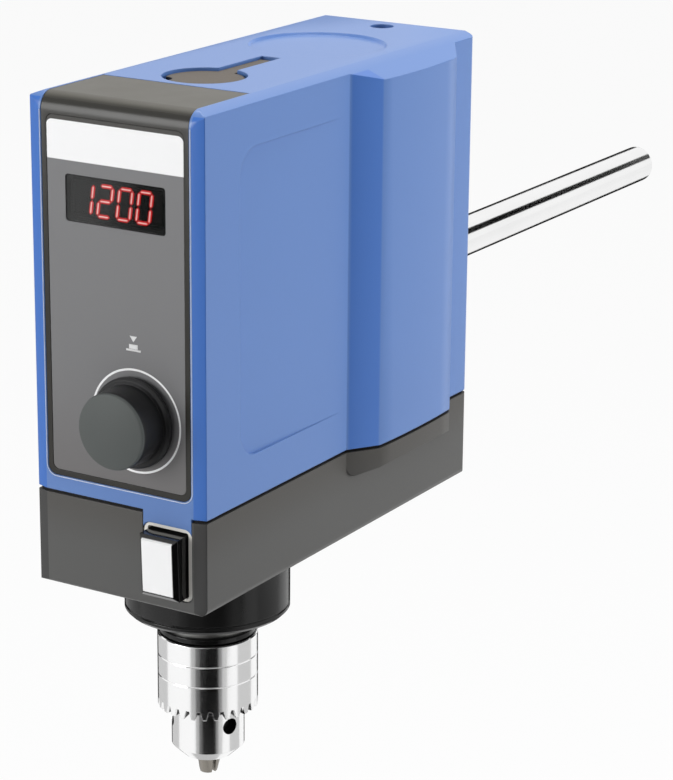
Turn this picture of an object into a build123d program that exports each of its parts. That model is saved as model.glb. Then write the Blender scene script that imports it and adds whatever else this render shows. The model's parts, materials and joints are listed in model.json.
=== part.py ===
from build123d import *

import os
from math import asin, atan2, cos, degrees, pi, radians, sin, tan

# Overhead laboratory stirrer. Millimetres, +Z up, the front panel faces -Y.
# The origin is on the spindle axis, halfway up the gripping length of the chuck's jaws.

# Heights of the housing
grip_to_base = 77.4
base_height = 34.6
cover_height = 141.4
seam_gap = 1.2
cut_margin = 1.0
housing_height = base_height + cover_height
base_bottom = grip_to_base
seam_z = base_bottom + base_height
top_z = base_bottom + housing_height
base_rim_z = seam_z - seam_gap / 2
cover_rim_z = seam_z + seam_gap / 2

# Plan of the housing
half_width = 35.5
front_to_axis = 54.0
body_depth = 184.0
front_y = -front_to_axis
back_y = front_y + body_depth
front_bevel_width = 4.5
front_bevel_depth = 1.4
bulge_start = 92.5
bulge_to_back = 16.0
bulge_depth = 7.5
bulge_ramp = 11.7
bulge_crown = 0.8
rear_corner_radius = 3.0
bulge_length = body_depth - bulge_start - bulge_to_back
bulge_front_y = front_y + bulge_start
bulge_back_y = back_y - bulge_to_back
bulge_half_width = half_width + bulge_depth

# Walls and edges of the cover
cover_wall = 2.5
front_wall = 4.0
top_flat_half = 31.0
shoulder_slope = 0.4
front_top_radius = 6.0
rear_top_radius = 3.0
relief_depth = 1.3
relief_front = 22.2
relief_length = 66.0
relief_low = 51.0
relief_below_top = 16.5
relief_corner = 10.0
relief_height = housing_height - relief_low - relief_below_top
inner_front_y = front_y + front_wall

# Base tray
base_wall = 3.0
floor_thickness = 3.0
base_side_edge = 3.0
base_front_edge = 2.0
base_rear_radius = 6.0
pad_below_seam = 10.6
pad_slope_height = 3.2
pad_corner = 5.0
floor_top_z = base_bottom + floor_thickness
pad_low_z = seam_z - pad_below_seam

# Gasket in the seam
gasket_inset = 0.9
gasket_width = 1.2

# Shaft lid and the other recesses in the top
pocket_radius = 15.0
pocket_depth = 4.4
slot_width = 8.0
slot_reach = 42.5
lid_below_rim = 1.0
lid_thickness = 1.8
lid_gap = 1.2
lid_side_gap = 0.6
lid_barrel_radius = 1.4
lid_barrel_gap = 0.5
lid_pin_radius = 0.7
lid_pin_engagement = 1.5
lid_notch_radius = 4.0
lid_notch_depth = 2.6
lid_notch_angle = 215.0
pocket_wall = 2.6
dish_before_motor = 2.0
dish_radius = 25.5
dish_depth = 1.0
dish_blend = 0.8
lid_top_z = top_z - lid_below_rim
hinge_y = slot_reach - lid_barrel_radius - lid_barrel_gap
hinge_z = lid_top_z - lid_barrel_radius

# Front panel and what sits in it
panel_half_width = 30.0
panel_low = 41.0
panel_reach = 36.0
panel_thickness = 1.2
panel_below_front = 0.1
panel_gap = 0.15
panel_corner = 3.5
panel_frame = 2.0
label_thickness = 0.3
label_pocket = 0.4
label_corner = 2.5
label_below_top = 7.2
window_width = 41.0
window_height = 16.4
window_below_top = 35.1
window_corner = 1.2
window_seat = 1.5
window_gap = 0.1
window_below_label = 0.3
panel_low_z = base_bottom + panel_low
panel_back = panel_below_front + panel_thickness
window_z = top_z - window_below_top

# Control board with its display, and the power board
board_thickness = 1.6
board_standoff = 8.0
board_half_width = 24.0
board_low = 44.0
board_below_top = 20.0
display_gap = 0.4
display_cell_gap = 1.2
display_cell_margin = 1.0
digit_count = 4
digit_cell_depth = 1.0
chip_side = 14.0
chip_height = 2.4
chip_above_middle = -8.96
header_width = 6.0
header_height = 18.0
header_inset = 8.0
header_rise = 20.0
post_radius = 3.0
post_x = 20.0
post_margin = 6.0
board_screw_length = 6.0
power_board_x = 31.0
power_board_front = -24.0
power_board_length = 58.0
power_board_below_top = 85.0
coil_length = 26.0
coil_height = 24.0
coil_depth = 12.0
coil_corner = 1.5
coil_rise = 30.0
coil_column = 38.0
capacitor_radius = 7.5
capacitor_depth = 13.0
capacitor_column = 12.0
capacitor_rise = 26.0
capacitor_step = 20.0
sink_length = 30.0
sink_height = 28.0
sink_depth = 9.0
sink_below_board_top = 24.0
sink_slot_count = 6
sink_slot_pitch = 5.0
sink_slot_width = 2.6
sink_slot_height = 22.0
board_height = housing_height - board_low - board_below_top
board_middle_z = base_bottom + board_low + board_height / 2
power_board_height = housing_height - floor_thickness - power_board_below_top
board_front_y = inner_front_y + board_standoff

# Speed knob and its push encoder
knob_x = 7.5
knob_height = 66.3
knob_radius = 13.5
knob_draft = 0.4
knob_skirt_radius = 16.0
knob_skirt_height = 2.4
knob_protrusion = 15.0
knob_gap = 1.2
knob_wall = 2.0
knob_edge = 1.2
knob_edge_share = 0.3
knob_hub_radius = 5.5
knob_skirt_edge = 0.8
knob_rib_count = 6
knob_rib_width = 1.4
knob_rib_below = 3.0
knob_rib_root = 0.5
encoder_side = 13.0
encoder_wall = 1.2
encoder_shaft_radius = 3.0
encoder_bush_radius = 4.4
encoder_rotor_radius = 4.9
encoder_end_room = 1.4
encoder_behind_wall = 1.0
encoder_corner = 1.0
encoder_bush_below_front = 0.4
encoder_rotor_gap = 0.3
encoder_rotor_thickness = 1.8
running_gap = 0.05
knob_z = base_bottom + knob_height

# Power switch in the front of the base
switch_x = 20.1
switch_width = 20.4
switch_low = 4.4
switch_height = 26.6
switch_corner = 3.0
switch_gap = 0.2
switch_depth = 13.0
switch_floor = 2.0
switch_flange = 0.2
switch_flange_rise = 1.1
switch_flange_depth = 1.5
switch_below_front = 0.5
switch_flange_corner = 1.0
rocker_opening_corner = 0.8
rocker_width = 15.6
rocker_height = 22.6
rocker_proud = 6.4
rocker_bevel = 1.6
rocker_gap = 0.6
rocker_pivot_depth = 6.5
rocker_behind_pivot = 3.0
rocker_pin_radius = 1.4
rocker_pin_length = 1.2
rocker_rest_tilt = 2.4
switch_z = base_bottom + switch_low + switch_height / 2

# Bearing collar under the base
collar_radius = 30.3
collar_drop = 20.3
collar_edge = 1.2
collar_groove = 2.2
collar_spigot_radius = 22.0
collar_gap = 0.1
collar_screw_distance = 26.2
collar_lip_radius = 13.0
collar_counterbore = 3.4
collar_screw_depth = 6.0
groove_depth = 0.5

# Spindle and its bearings
spindle_radius = 10.0
shaft_bore_radius = 5.3
bearing_radius = 21.0
bearing_width = 12.0
bearing_face_groove = 0.8
seal_radius = 16.0
seal_height = 4.0
seal_lip = 1.0
face_gap = 0.3
flange_radius = 16.5
flange_height = 6.2
flange_edge = 0.4
splash_ring_radius = 17.8
splash_ring_height = 2.4
spindle_above_arm = 15.0
shaft_end_edge = 0.6
bore_lead_in = 1.0
spindle_stub_radius = 7.5
spindle_stub_length = 14.0
guide_radius = 9.0
guide_rim_radius = 11.0
guide_gap = 1.2
guide_bore_gap = 0.3
guide_rim_height = 1.0
flange_top_z = base_bottom - collar_drop - face_gap
flange_low_z = flange_top_z - flange_height
splash_low_z = flange_low_z - splash_ring_height

# Belt drive
spindle_pulley_radius = 27.0
motor_pulley_radius = 9.0
pulley_flange = 2.0
pulley_flange_thickness = 0.9
pulley_hub_wall = 4.0
pulley_rim = 4.0
pulley_web = 4.0
belt_width = 8.0
belt_thickness = 1.4
belt_gap = 0.3
belt_side_gap = 0.5
pulley_hole_radius = 3.0
pulley_hole_count = 6
belt_below_arm = 9.0

# Motor, as wide as the bulges and their length allow
motor_side_room = 7.0
motor_end_room = 1.75
motor_before_middle = 0.25
motor_low = 33.0
motor_below_belt = 28.0
motor_wall = 1.6
motor_floor = 3.0
end_bell_height = 10.0
motor_shaft_radius = 4.0
motor_hub_wall = 3.0
motor_screw_inset = 1.0
bell_vent_distance = 24.0
bell_vent_count = 8
bell_vent_length = 12.0
bell_vent_width = 4.0
shield_groove = 0.5
motor_bearing_radius = 11.0
motor_bearing_width = 7.0
motor_shaft_hole_gap = 2.0
bell_slope = 4.0
bell_step = 2.0
rotor_extra_radius = 1.5
rotor_setback = 1.0
stator_setback = 18.0
stator_lift = 1.0
air_gap = 0.6
stator_slots = 9
stator_slot_width = 5.0
stator_yoke = 5.0
motor_radius = min(bulge_length / 2 - motor_end_room, bulge_half_width - motor_side_room)
motor_y = (bulge_front_y + bulge_back_y) / 2 - motor_before_middle
motor_screw_distance = motor_radius / 2 - motor_screw_inset
rotor_radius = motor_radius / 2 + rotor_extra_radius
dish_y = motor_y - dish_before_motor

# Cast chassis
plate_thickness = 9.0
chassis_half_width = 28.0
chassis_front = -29.0
spine_to_back = 5.0
spine_thickness = 12.0
spine_half_width = 22.0
spine_in_plate = 2.0
arm_below_top = 56.0
arm_lip = 2.0
arm_half_width = 18.0
arm_window_length = 44.0
bearing_boss_wall = 5.0
chassis_corner = 5.0
arm_window_width = 22.0
web_to_pulley = 6.0
web_drop = 24.0
web_half_width = 4.0
drum_beyond_screws = 10.0
drum_wall = 4.0
drum_flange_width = 4.5
drum_flange_height = 4.0
drum_window_width = 24.0
drum_window_margin = 2.0
drum_window_corner = 2.0
plate_hole_gap = 2.0
bearing_shoulder = 4.0
crown_screw_depth = 14.0
crown_screw_end_room = 2.0
plate_top_z = floor_top_z + plate_thickness
arm_low_z = top_z - arm_below_top
arm_top_z = arm_low_z + arm_lip + bearing_width
spine_back_y = back_y - spine_to_back
spine_y = spine_back_y - spine_thickness
chassis_back = spine_y + spine_in_plate
belt_z = arm_low_z - belt_below_arm
motor_height = belt_z - motor_below_belt - base_bottom - motor_low
stator_height = motor_height - stator_setback
rotor_height = stator_height - 2 * rotor_setback
drum_radius = motor_screw_distance + drum_beyond_screws
drum_flange_radius = drum_radius + drum_flange_width
web_reach = spine_y - web_to_pulley - motor_y - motor_pulley_radius - pulley_flange

# Support rod
rod_radius = 8.0
rod_height = 79.2
rod_length = 224.0
rod_spigot_radius = 6.0
rod_boss_radius = 14.0
rod_hole_gap = 0.6
rod_end_edge = 1.0
rod_boss_below_skin = 0.5
rod_z = base_bottom + rod_height

# Mains inlet at the back of the base
inlet_height = 22.0
inlet_flange_width = 32.0
inlet_flange_height = 22.0
inlet_flange_thickness = 1.6
inlet_width = 27.0
inlet_body_height = 19.0
inlet_depth = 16.0
inlet_wall = 1.5
inlet_pin_length = 11.0
inlet_pin_width = 2.0
inlet_pin_height = 4.0
inlet_pin_spread = 7.0
inlet_pin_raise = 4.0
inlet_corner = 2.0
inlet_z = base_bottom + inlet_height

# Screws
m3_radius = 1.5
m3_head_radius = 2.75
m3_head_height = 3.0
m4_radius = 2.0
m4_head_radius = 3.5
m4_head_height = 4.0
screw_clearance = 0.2
screw_boss_radius = 4.8
screw_boss_x = 29.0
screw_front_margin = 19.0
screw_back_margin = 8.5
screw_hex_share = 0.8
screw_hex_depth_share = 0.6
corner_screw_sink = 12.0
corner_screw_length = 30.0
corner_boss_rise = 18.0
corner_hole_end = 2.0
crown_screw_in_spine = 7.6
crown_hole_gap = 0.15
crown_screw_pocket_radius = 4.5
crown_screw_pocket_depth = 20.0
crown_boss_radius = 6.5
crown_screw_y = spine_y + crown_screw_in_spine

# Rear louvres of the cover
louvre_count = 6
louvre_pitch = 5.0
louvre_width = 17.0
louvre_height = 2.4
louvre_x = 19.0
louvre_end_share = 0.45
louvre_below_top = 37.0

# Key chuck
sleeve_radius = 18.5
sleeve_bore_radius = 16.9
sleeve_top_gap = 0.3
sleeve_lip_radius = 13.8
sleeve_edge = 0.4
sleeve_line_depth = 0.25
sleeve_lines_below_base = (45.6, 37.7)
tooth_count = 27
tooth_height = 3.4
tooth_root_share = 0.3
tooth_gap_share = 0.7
tooth_tip_below_base = 58.6
nut_radius = 15.6
nut_height = 6.0
nut_groove_radius = 10.5
nut_thread_gap = 0.2
nut_low_below_base = 55.6
chuck_body_radius = 13.5
chuck_neck_radius = 11.5
chamfer_below_base = 74.0
nose_below_base = 78.3
nose_radius = 9.0
body_gap = 0.3
key_hole_radius = 3.1
key_hole_depth = 3.4
key_hole_below_base = 64.0
key_hole_angle = -18.7
jaw_slope = 14.0
jaw_radius = 3.1
jaw_length = 40.0
jaw_tip_radius = 3.3
jaw_below_nose = 7.7
jaw_bore_gap = 0.08
jaw_bore_rise = 17.0
jaw_angle = -78.7
jaw_land_angle = 22.0
grip_radius = 1.2
nose_z = base_bottom - nose_below_base
jaw_tip_z = nose_z - jaw_below_nose
nut_low_z = base_bottom - nut_low_below_base
nut_top_z = nut_low_z + nut_height
tooth_tip_z = base_bottom - tooth_tip_below_base


def plan_sketch(inset, with_bulge):
    """Plan of the housing, drawn in from the outer skin by inset."""
    ramp_front = bulge_front_y + bulge_ramp
    ramp_back = bulge_back_y - bulge_ramp
    with BuildSketch() as sketch:
        with BuildLine():
            Polyline(
                (0, front_y),
                (half_width - front_bevel_width, front_y),
                (half_width, front_y + front_bevel_depth),
                (half_width, bulge_front_y),
            )
            if with_bulge:
                Line((half_width, bulge_front_y), (bulge_half_width, ramp_front))
                ThreePointArc(
                    (bulge_half_width, ramp_front),
                    (bulge_half_width + bulge_crown, (ramp_front + ramp_back) / 2),
                    (bulge_half_width, ramp_back),
                )
                Line((bulge_half_width, ramp_back), (half_width, bulge_back_y))
            else:
                Line((half_width, bulge_front_y), (half_width, bulge_back_y))
            Polyline((half_width, bulge_back_y), (half_width, back_y), (0, back_y))
            mirror(about=Plane.YZ)
        make_face()
        fillet(sketch.vertices().group_by(Axis.Y)[-1], rear_corner_radius)
        if inset:
            offset(amount=-inset, kind=Kind.INTERSECTION)
    return sketch.sketch


def cover_block(inset, front_inset, low_z):
    """Outer form of the cover, or its hollow when inset is the wall."""
    reach = 1.5 * bulge_half_width
    deep = low_z - cover_height / 2
    with BuildPart() as block:
        with BuildSketch(Plane.XY.offset(low_z)):
            add(plan_sketch(inset, True))
        extrude(amount=top_z - inset - low_z)
        with BuildSketch(Plane.YZ) as side:
            with BuildLine():
                Polyline(
                    (front_y + front_inset, deep),
                    (front_y + front_inset, top_z - inset),
                    (back_y - inset, top_z - inset),
                    (back_y - inset, deep),
                    close=True,
                )
            make_face()
            upper = side.vertices().group_by(Axis.Y)[-1].sort_by(Axis.X)
            fillet(upper[0], front_top_radius - front_inset)
            fillet(upper[-1], rear_top_radius - inset)
        extrude(amount=reach, both=True, mode=Mode.INTERSECT)
        with BuildSketch(Plane.XZ):
            with BuildLine():
                Polyline(
                    (0, top_z),
                    (top_flat_half, top_z),
                    (reach, top_z - shoulder_slope * (reach - top_flat_half)),
                    (reach, deep),
                    (0, deep),
                )
                mirror(about=Plane.YZ)
            make_face()
            if inset:
                offset(amount=-inset, kind=Kind.INTERSECTION)
        extrude(amount=body_depth * 2, both=True, mode=Mode.INTERSECT)
    return block.part


def panel_form(outer_inset, inner_inset, grow):
    """Angled plate over the front and the top, with round lower corners."""
    with BuildPart() as form:
        with BuildSketch(Plane.YZ) as side:
            with BuildLine():
                Polyline(
                    (front_y + outer_inset, panel_low_z - grow),
                    (front_y + outer_inset, top_z - outer_inset),
                    (front_y + panel_reach + grow, top_z - outer_inset),
                    (front_y + panel_reach + grow, top_z - inner_inset),
                    (front_y + inner_inset, top_z - inner_inset),
                    (front_y + inner_inset, panel_low_z - grow),
                    close=True,
                )
            make_face()
            outer_level = side.vertices().group_by(Axis.Y)[-1]
            fillet(outer_level.sort_by(Axis.X)[0], front_top_radius - outer_inset)
            inner_level = side.vertices().group_by(Axis.Y)[-2]
            fillet(inner_level.sort_by(Axis.X)[0], front_top_radius - inner_inset)
        extrude(amount=panel_half_width + grow, both=True)
        fillet(form.edges().filter_by(Axis.Y).group_by(Axis.Z)[0], panel_corner + grow)
    return form.part


def front_opening(width, height, corner, x, z, start, end):
    """Rounded block through the front, from start to end behind the front face."""
    with BuildPart() as block:
        with BuildSketch(Plane.XZ.offset(front_to_axis - start)):
            with Locations((x, z)):
                RectangleRounded(width, height, corner)
        extrude(amount=start - end)
    return block.part


def switch_opening():
    """Opening for the power switch in the front of both mouldings."""
    return front_opening(
        switch_width, switch_height, switch_corner, switch_x, switch_z, -cut_margin, base_wall + cut_margin
    )


def side_relief():
    """Shallow hollow in a side wall, deepest at its front edge."""
    start = front_y + relief_front
    with BuildPart() as relief:
        with BuildSketch(Plane.YZ) as side:
            with Locations((start + relief_length / 2, base_bottom + relief_low + relief_height / 2)):
                Rectangle(relief_length, relief_height)
            fillet(side.vertices().group_by(Axis.X)[0], relief_corner)
        extrude(amount=half_width + 2 * cut_margin)
        with BuildSketch(Plane.XY.offset(base_bottom)):
            with BuildLine():
                Polyline(
                    (half_width - relief_depth, start - cut_margin),
                    (half_width, start + relief_length),
                    (half_width + cut_margin, start + relief_length),
                    (half_width + cut_margin, start - cut_margin),
                    close=True,
                )
            make_face()
        extrude(amount=top_z - base_bottom, mode=Mode.INTERSECT)
    return relief.part


def upright_cylinder(x, y, radius, low_z, high_z):
    """Plain upright cylinder."""
    with BuildPart() as rod:
        with BuildSketch(Plane.XY.offset(low_z)):
            with Locations((x, y)):
                Circle(radius)
        extrude(amount=high_z - low_z)
    return rod.part


def turned(points, x=0.0, y=0.0):
    """Turned solid about an upright axis, from (radius, z) corners."""
    with BuildPart() as solid:
        with BuildSketch(Plane.XZ):
            with BuildLine():
                Polyline(*points, close=True)
            make_face()
        revolve(axis=Axis.Z)
    return solid.part.moved(Location((x, y, 0)))


def corner_spots():
    """Places of the screws that hold the base to the cover."""
    front = front_y + screw_front_margin
    back = back_y - screw_back_margin
    return [(sx * screw_boss_x, y) for sx in (-1, 1) for y in (front, back)]


def lid_plan(radius, width, reach):
    """Keyhole outline of the lid and its pocket."""
    with BuildSketch() as sketch:
        Circle(radius)
        with Locations((0, reach / 2)):
            Rectangle(width, reach)
    return sketch.sketch


# Housing cover
with BuildPart() as housing_cover:
    add(cover_block(0, 0, cover_rim_z))
    add(cover_block(cover_wall, front_wall, cover_rim_z - cut_margin), mode=Mode.SUBTRACT)
    # Pocket walls and screw columns inside the roof
    with BuildSketch(Plane.XY.offset(top_z - pocket_depth - pocket_wall)):
        add(lid_plan(pocket_radius + pocket_wall, slot_width + 2 * pocket_wall, slot_reach + pocket_wall))
    extrude(amount=pocket_depth + pocket_wall - cover_wall / 2)
    add(upright_cylinder(0, crown_screw_y, crown_boss_radius, arm_top_z, top_z - cover_wall / 2))
    boss_top_z = cover_rim_z + corner_boss_rise
    for boss_x, boss_y in corner_spots():
        add(upright_cylinder(boss_x, boss_y, screw_boss_radius, cover_rim_z, boss_top_z))
    with BuildSketch(Plane.XZ.offset(-inner_front_y)):
        with Locations((0, board_middle_z)):
            with GridLocations(2 * post_x, board_height - 2 * post_margin, 2, 2):
                Circle(post_radius)
    extrude(amount=-board_standoff)
    with BuildSketch(Plane.XZ.offset(-board_front_y)):
        with Locations((0, board_middle_z)):
            with GridLocations(2 * post_x, board_height - 2 * post_margin, 2, 2):
                Circle(m3_radius)
    extrude(amount=board_screw_length, mode=Mode.SUBTRACT)
    # Tab that closes the switch opening from above
    tab_low = switch_z + switch_height / 2 - switch_corner
    with BuildSketch(Plane.XZ.offset(front_to_axis)):
        with Locations((switch_x, (tab_low + cover_rim_z) / 2)):
            Rectangle(switch_width - 2 * switch_gap, cover_rim_z - tab_low)
    extrude(amount=-base_wall)
    add(switch_opening(), mode=Mode.SUBTRACT)
    # Seat of the front panel, display opening and encoder hole
    add(panel_form(-cut_margin, panel_back, panel_gap), mode=Mode.SUBTRACT)
    add(
        front_opening(
            window_width - 2 * window_seat,
            window_height - 2 * window_seat,
            window_corner,
            0,
            window_z,
            0,
            front_wall + cut_margin,
        ),
        mode=Mode.SUBTRACT,
    )
    with BuildSketch(Plane.XZ.offset(front_to_axis)):
        with Locations((knob_x, knob_z)):
            Circle(encoder_bush_radius + panel_gap)
    extrude(amount=-front_wall - cut_margin, mode=Mode.SUBTRACT)
    # Side reliefs
    relief = side_relief()
    add(relief, mode=Mode.SUBTRACT)
    add(relief.mirror(Plane.YZ), mode=Mode.SUBTRACT)
    # Keyhole pocket, shaft hole, dish and hinge pin holes in the top
    with BuildSketch(Plane.XY.offset(top_z + cut_margin)):
        add(lid_plan(pocket_radius, slot_width, slot_reach))
    extrude(amount=-pocket_depth - cut_margin, mode=Mode.SUBTRACT)
    below_pocket_z = top_z - pocket_depth - pocket_wall - cut_margin
    add(upright_cylinder(0, 0, guide_radius, below_pocket_z, top_z), mode=Mode.SUBTRACT)
    with BuildSketch(Plane.XY.offset(top_z - dish_depth)):
        with Locations((0, dish_y)):
            Circle(dish_radius - dish_blend)
    extrude(amount=dish_depth, taper=-degrees(atan2(dish_blend, dish_depth)), mode=Mode.SUBTRACT)
    with BuildSketch(Plane.YZ.offset(-slot_width / 2 - lid_pin_engagement)):
        with Locations((hinge_y, hinge_z)):
            Circle(lid_pin_radius)
    extrude(amount=slot_width + 2 * lid_pin_engagement, mode=Mode.SUBTRACT)
    # Screw pocket in the crown, pilot holes in the corner columns
    crown_seat_z = top_z - crown_screw_pocket_depth
    crown_pocket = upright_cylinder(0, crown_screw_y, crown_screw_pocket_radius, crown_seat_z, top_z)
    crown_hole = upright_cylinder(0, crown_screw_y, m4_radius + crown_hole_gap, arm_top_z, top_z)
    add(crown_pocket, mode=Mode.SUBTRACT)
    add(crown_hole, mode=Mode.SUBTRACT)
    for boss_x, boss_y in corner_spots():
        pilot_top_z = boss_top_z - corner_hole_end
        add(upright_cylinder(boss_x, boss_y, m4_radius, cover_rim_z, pilot_top_z), mode=Mode.SUBTRACT)
    # Rod hole and louvres in the back
    louvre_low_z = top_z - louvre_below_top
    with BuildSketch(Plane.XZ.offset(-back_y)):
        with Locations((0, rod_z)):
            Circle(rod_boss_radius + rod_hole_gap)
        for row in range(louvre_count):
            for side in (-1, 1):
                with Locations((side * louvre_x, louvre_low_z + row * louvre_pitch)):
                    RectangleRounded(louvre_width, louvre_height, louvre_height * louvre_end_share)
    extrude(amount=cover_wall + cut_margin, both=True, mode=Mode.SUBTRACT)
housing_cover.part.label = "housing_cover"


def tray_block(inset, low_z, high_z):
    """Outer form of the base, or its hollow when inset is the wall."""
    pad_low = pad_low_z + inset
    with BuildPart() as pads:
        with BuildSketch(Plane.XY.offset(pad_low)):
            add(plan_sketch(inset, True))
        extrude(amount=high_z - pad_low)
        with BuildSketch(Plane.YZ) as side:
            with Locations(((bulge_front_y + bulge_back_y) / 2, (pad_low + high_z) / 2)):
                Rectangle(bulge_length, high_z - pad_low)
            fillet(side.vertices().group_by(Axis.Y)[0], pad_corner)
        extrude(amount=bulge_half_width * 2, both=True, mode=Mode.INTERSECT)
        with BuildSketch(Plane.XZ):
            with BuildLine():
                Polyline(
                    (0, pad_low),
                    (half_width - inset, pad_low),
                    (bulge_half_width + bulge_crown + cut_margin, pad_low + pad_slope_height),
                    (bulge_half_width + bulge_crown + cut_margin, high_z),
                    (0, high_z),
                )
                mirror(about=Plane.YZ)
            make_face()
        extrude(amount=body_depth * 2, both=True, mode=Mode.INTERSECT)
    with BuildPart() as block:
        with BuildSketch(Plane.XY.offset(low_z)):
            add(plan_sketch(inset, False))
        extrude(amount=high_z - low_z)
        add(pads.part)
    return block.part


# Base tray with its side pads
with BuildPart() as base_housing:
    add(tray_block(0, base_bottom, base_rim_z))
    # Rounded lower edges, seen from the side and from the front
    with BuildSketch(Plane.YZ) as side:
        with BuildLine():
            Polyline(
                (front_y, base_bottom),
                (front_y, base_rim_z),
                (back_y, base_rim_z),
                (back_y, base_bottom),
                close=True,
            )
        make_face()
        lower = side.vertices().group_by(Axis.Y)[0].sort_by(Axis.X)
        fillet(lower[0], base_front_edge)
        fillet(lower[-1], base_rear_radius)
    extrude(amount=bulge_half_width * 2, both=True, mode=Mode.INTERSECT)
    with BuildSketch(Plane.XZ) as front:
        with BuildLine():
            Polyline(
                (0, base_bottom),
                (half_width, base_bottom),
                (half_width, pad_low_z - cut_margin),
                (bulge_half_width * 2, pad_low_z - cut_margin),
                (bulge_half_width * 2, base_rim_z),
                (0, base_rim_z),
            )
            mirror(about=Plane.YZ)
        make_face()
        fillet(front.vertices().group_by(Axis.Y)[0], base_side_edge)
    extrude(amount=body_depth * 2, both=True, mode=Mode.INTERSECT)
    add(tray_block(base_wall, floor_top_z, base_rim_z + cut_margin), mode=Mode.SUBTRACT)
    for boss_x, boss_y in corner_spots():
        add(upright_cylinder(boss_x, boss_y, screw_boss_radius, floor_top_z - cut_margin, base_rim_z))
    for boss_x, boss_y in corner_spots():
        head_z = base_bottom + corner_screw_sink
        head_hole_radius = m4_head_radius + screw_clearance
        thread_hole_radius = m4_radius + screw_clearance
        add(upright_cylinder(boss_x, boss_y, head_hole_radius, base_bottom, head_z), mode=Mode.SUBTRACT)
        add(upright_cylinder(boss_x, boss_y, thread_hole_radius, head_z, base_rim_z), mode=Mode.SUBTRACT)
    # Holes for the collar and its screws
    collar_hole_radius = collar_spigot_radius + collar_gap
    add(upright_cylinder(0, 0, collar_hole_radius, base_bottom, floor_top_z), mode=Mode.SUBTRACT)
    with BuildSketch(Plane.XY.offset(base_bottom - cut_margin)):
        with PolarLocations(collar_screw_distance, 3, start_angle=90):
            Circle(m3_radius + screw_clearance)
    extrude(amount=floor_thickness + 2 * cut_margin, mode=Mode.SUBTRACT)
    # Switch opening, open to the rim above, and the inlet opening
    add(switch_opening(), mode=Mode.SUBTRACT)
    with BuildSketch(Plane.XZ.offset(front_to_axis + cut_margin)):
        with Locations((switch_x, (switch_z + base_rim_z + cut_margin) / 2)):
            Rectangle(switch_width, base_rim_z + cut_margin - switch_z)
    extrude(amount=-base_wall - 2 * cut_margin, mode=Mode.SUBTRACT)
    with BuildSketch(Plane.XZ.offset(-back_y - cut_margin)):
        with Locations((0, inlet_z)):
            Rectangle(inlet_width + 2 * switch_gap, inlet_body_height + 2 * switch_gap)
    extrude(amount=base_wall + 2 * cut_margin, mode=Mode.SUBTRACT)
base_housing.part.label = "base_housing"

# Gasket between base and cover, broken at the switch tab
with BuildPart() as seam_gasket:
    with BuildSketch(Plane.XY.offset(base_rim_z)):
        add(plan_sketch(gasket_inset, True))
        add(plan_sketch(gasket_inset + gasket_width, True), mode=Mode.SUBTRACT)
        with Locations((switch_x, front_y)):
            Rectangle(switch_width + 2 * switch_gap, 4 * base_wall, mode=Mode.SUBTRACT)
    extrude(amount=seam_gap)
seam_gasket.part.label = "seam_gasket"

# Front panel, its inlay and the display window
with BuildPart() as front_panel:
    add(panel_form(panel_below_front, panel_back, 0))
    label_width = 2 * (panel_half_width - panel_frame)
    label_low_z = panel_low_z + panel_frame
    label_height = top_z - label_below_top - label_low_z
    label_centre_z = label_low_z + label_height / 2
    add(
        front_opening(
            label_width,
            label_height,
            label_corner,
            0,
            label_centre_z,
            -cut_margin,
            panel_below_front + label_pocket,
        ),
        mode=Mode.SUBTRACT,
    )
    add(
        front_opening(window_width, window_height, window_corner, 0, window_z, -cut_margin, front_wall),
        mode=Mode.SUBTRACT,
    )
    with BuildSketch(Plane.XZ.offset(front_to_axis)):
        with Locations((knob_x, knob_z)):
            Circle(encoder_bush_radius + panel_gap)
    extrude(amount=-front_wall, mode=Mode.SUBTRACT)
front_panel.part.label = "front_panel"

with BuildPart() as panel_inlay:
    inlay_start = panel_below_front + label_pocket - label_thickness
    add(
        front_opening(
            label_width - 2 * panel_gap,
            label_height - 2 * panel_gap,
            label_corner - panel_gap,
            0,
            label_centre_z,
            inlay_start,
            inlay_start + label_thickness,
        )
    )
    add(
        front_opening(window_width, window_height, window_corner, 0, window_z, -cut_margin, front_wall),
        mode=Mode.SUBTRACT,
    )
    with BuildSketch(Plane.XZ.offset(front_to_axis)):
        with Locations((knob_x, knob_z)):
            Circle(encoder_bush_radius + panel_gap)
    extrude(amount=-front_wall, mode=Mode.SUBTRACT)
panel_inlay.part.label = "panel_inlay"

with BuildPart() as display_window:
    add(
        front_opening(
            window_width - 2 * window_gap,
            window_height - 2 * window_gap,
            window_corner,
            0,
            window_z,
            inlay_start + window_below_label,
            panel_back,
        )
    )
display_window.part.label = "display_window"

# Display block on its control board, with its digit cells
display_start = panel_back + display_gap
display_width = window_width - 2 * window_seat - 2 * display_gap
display_height = window_height - 2 * window_seat - 2 * display_gap
with BuildPart() as display_module:
    add(
        front_opening(
            display_width,
            display_height,
            window_corner / 2,
            0,
            window_z,
            display_start,
            front_wall + board_standoff,
        )
    )
    with BuildSketch(Plane.XZ.offset(front_to_axis - display_start)):
        with Locations((0, window_z)):
            with GridLocations(display_width / digit_count, 0, digit_count, 1):
                cell_width = display_width / digit_count - display_cell_gap
                Rectangle(cell_width, display_height - 2 * display_cell_margin)
    extrude(amount=-digit_cell_depth, mode=Mode.SUBTRACT)
display_module.part.label = "display_module"

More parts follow.
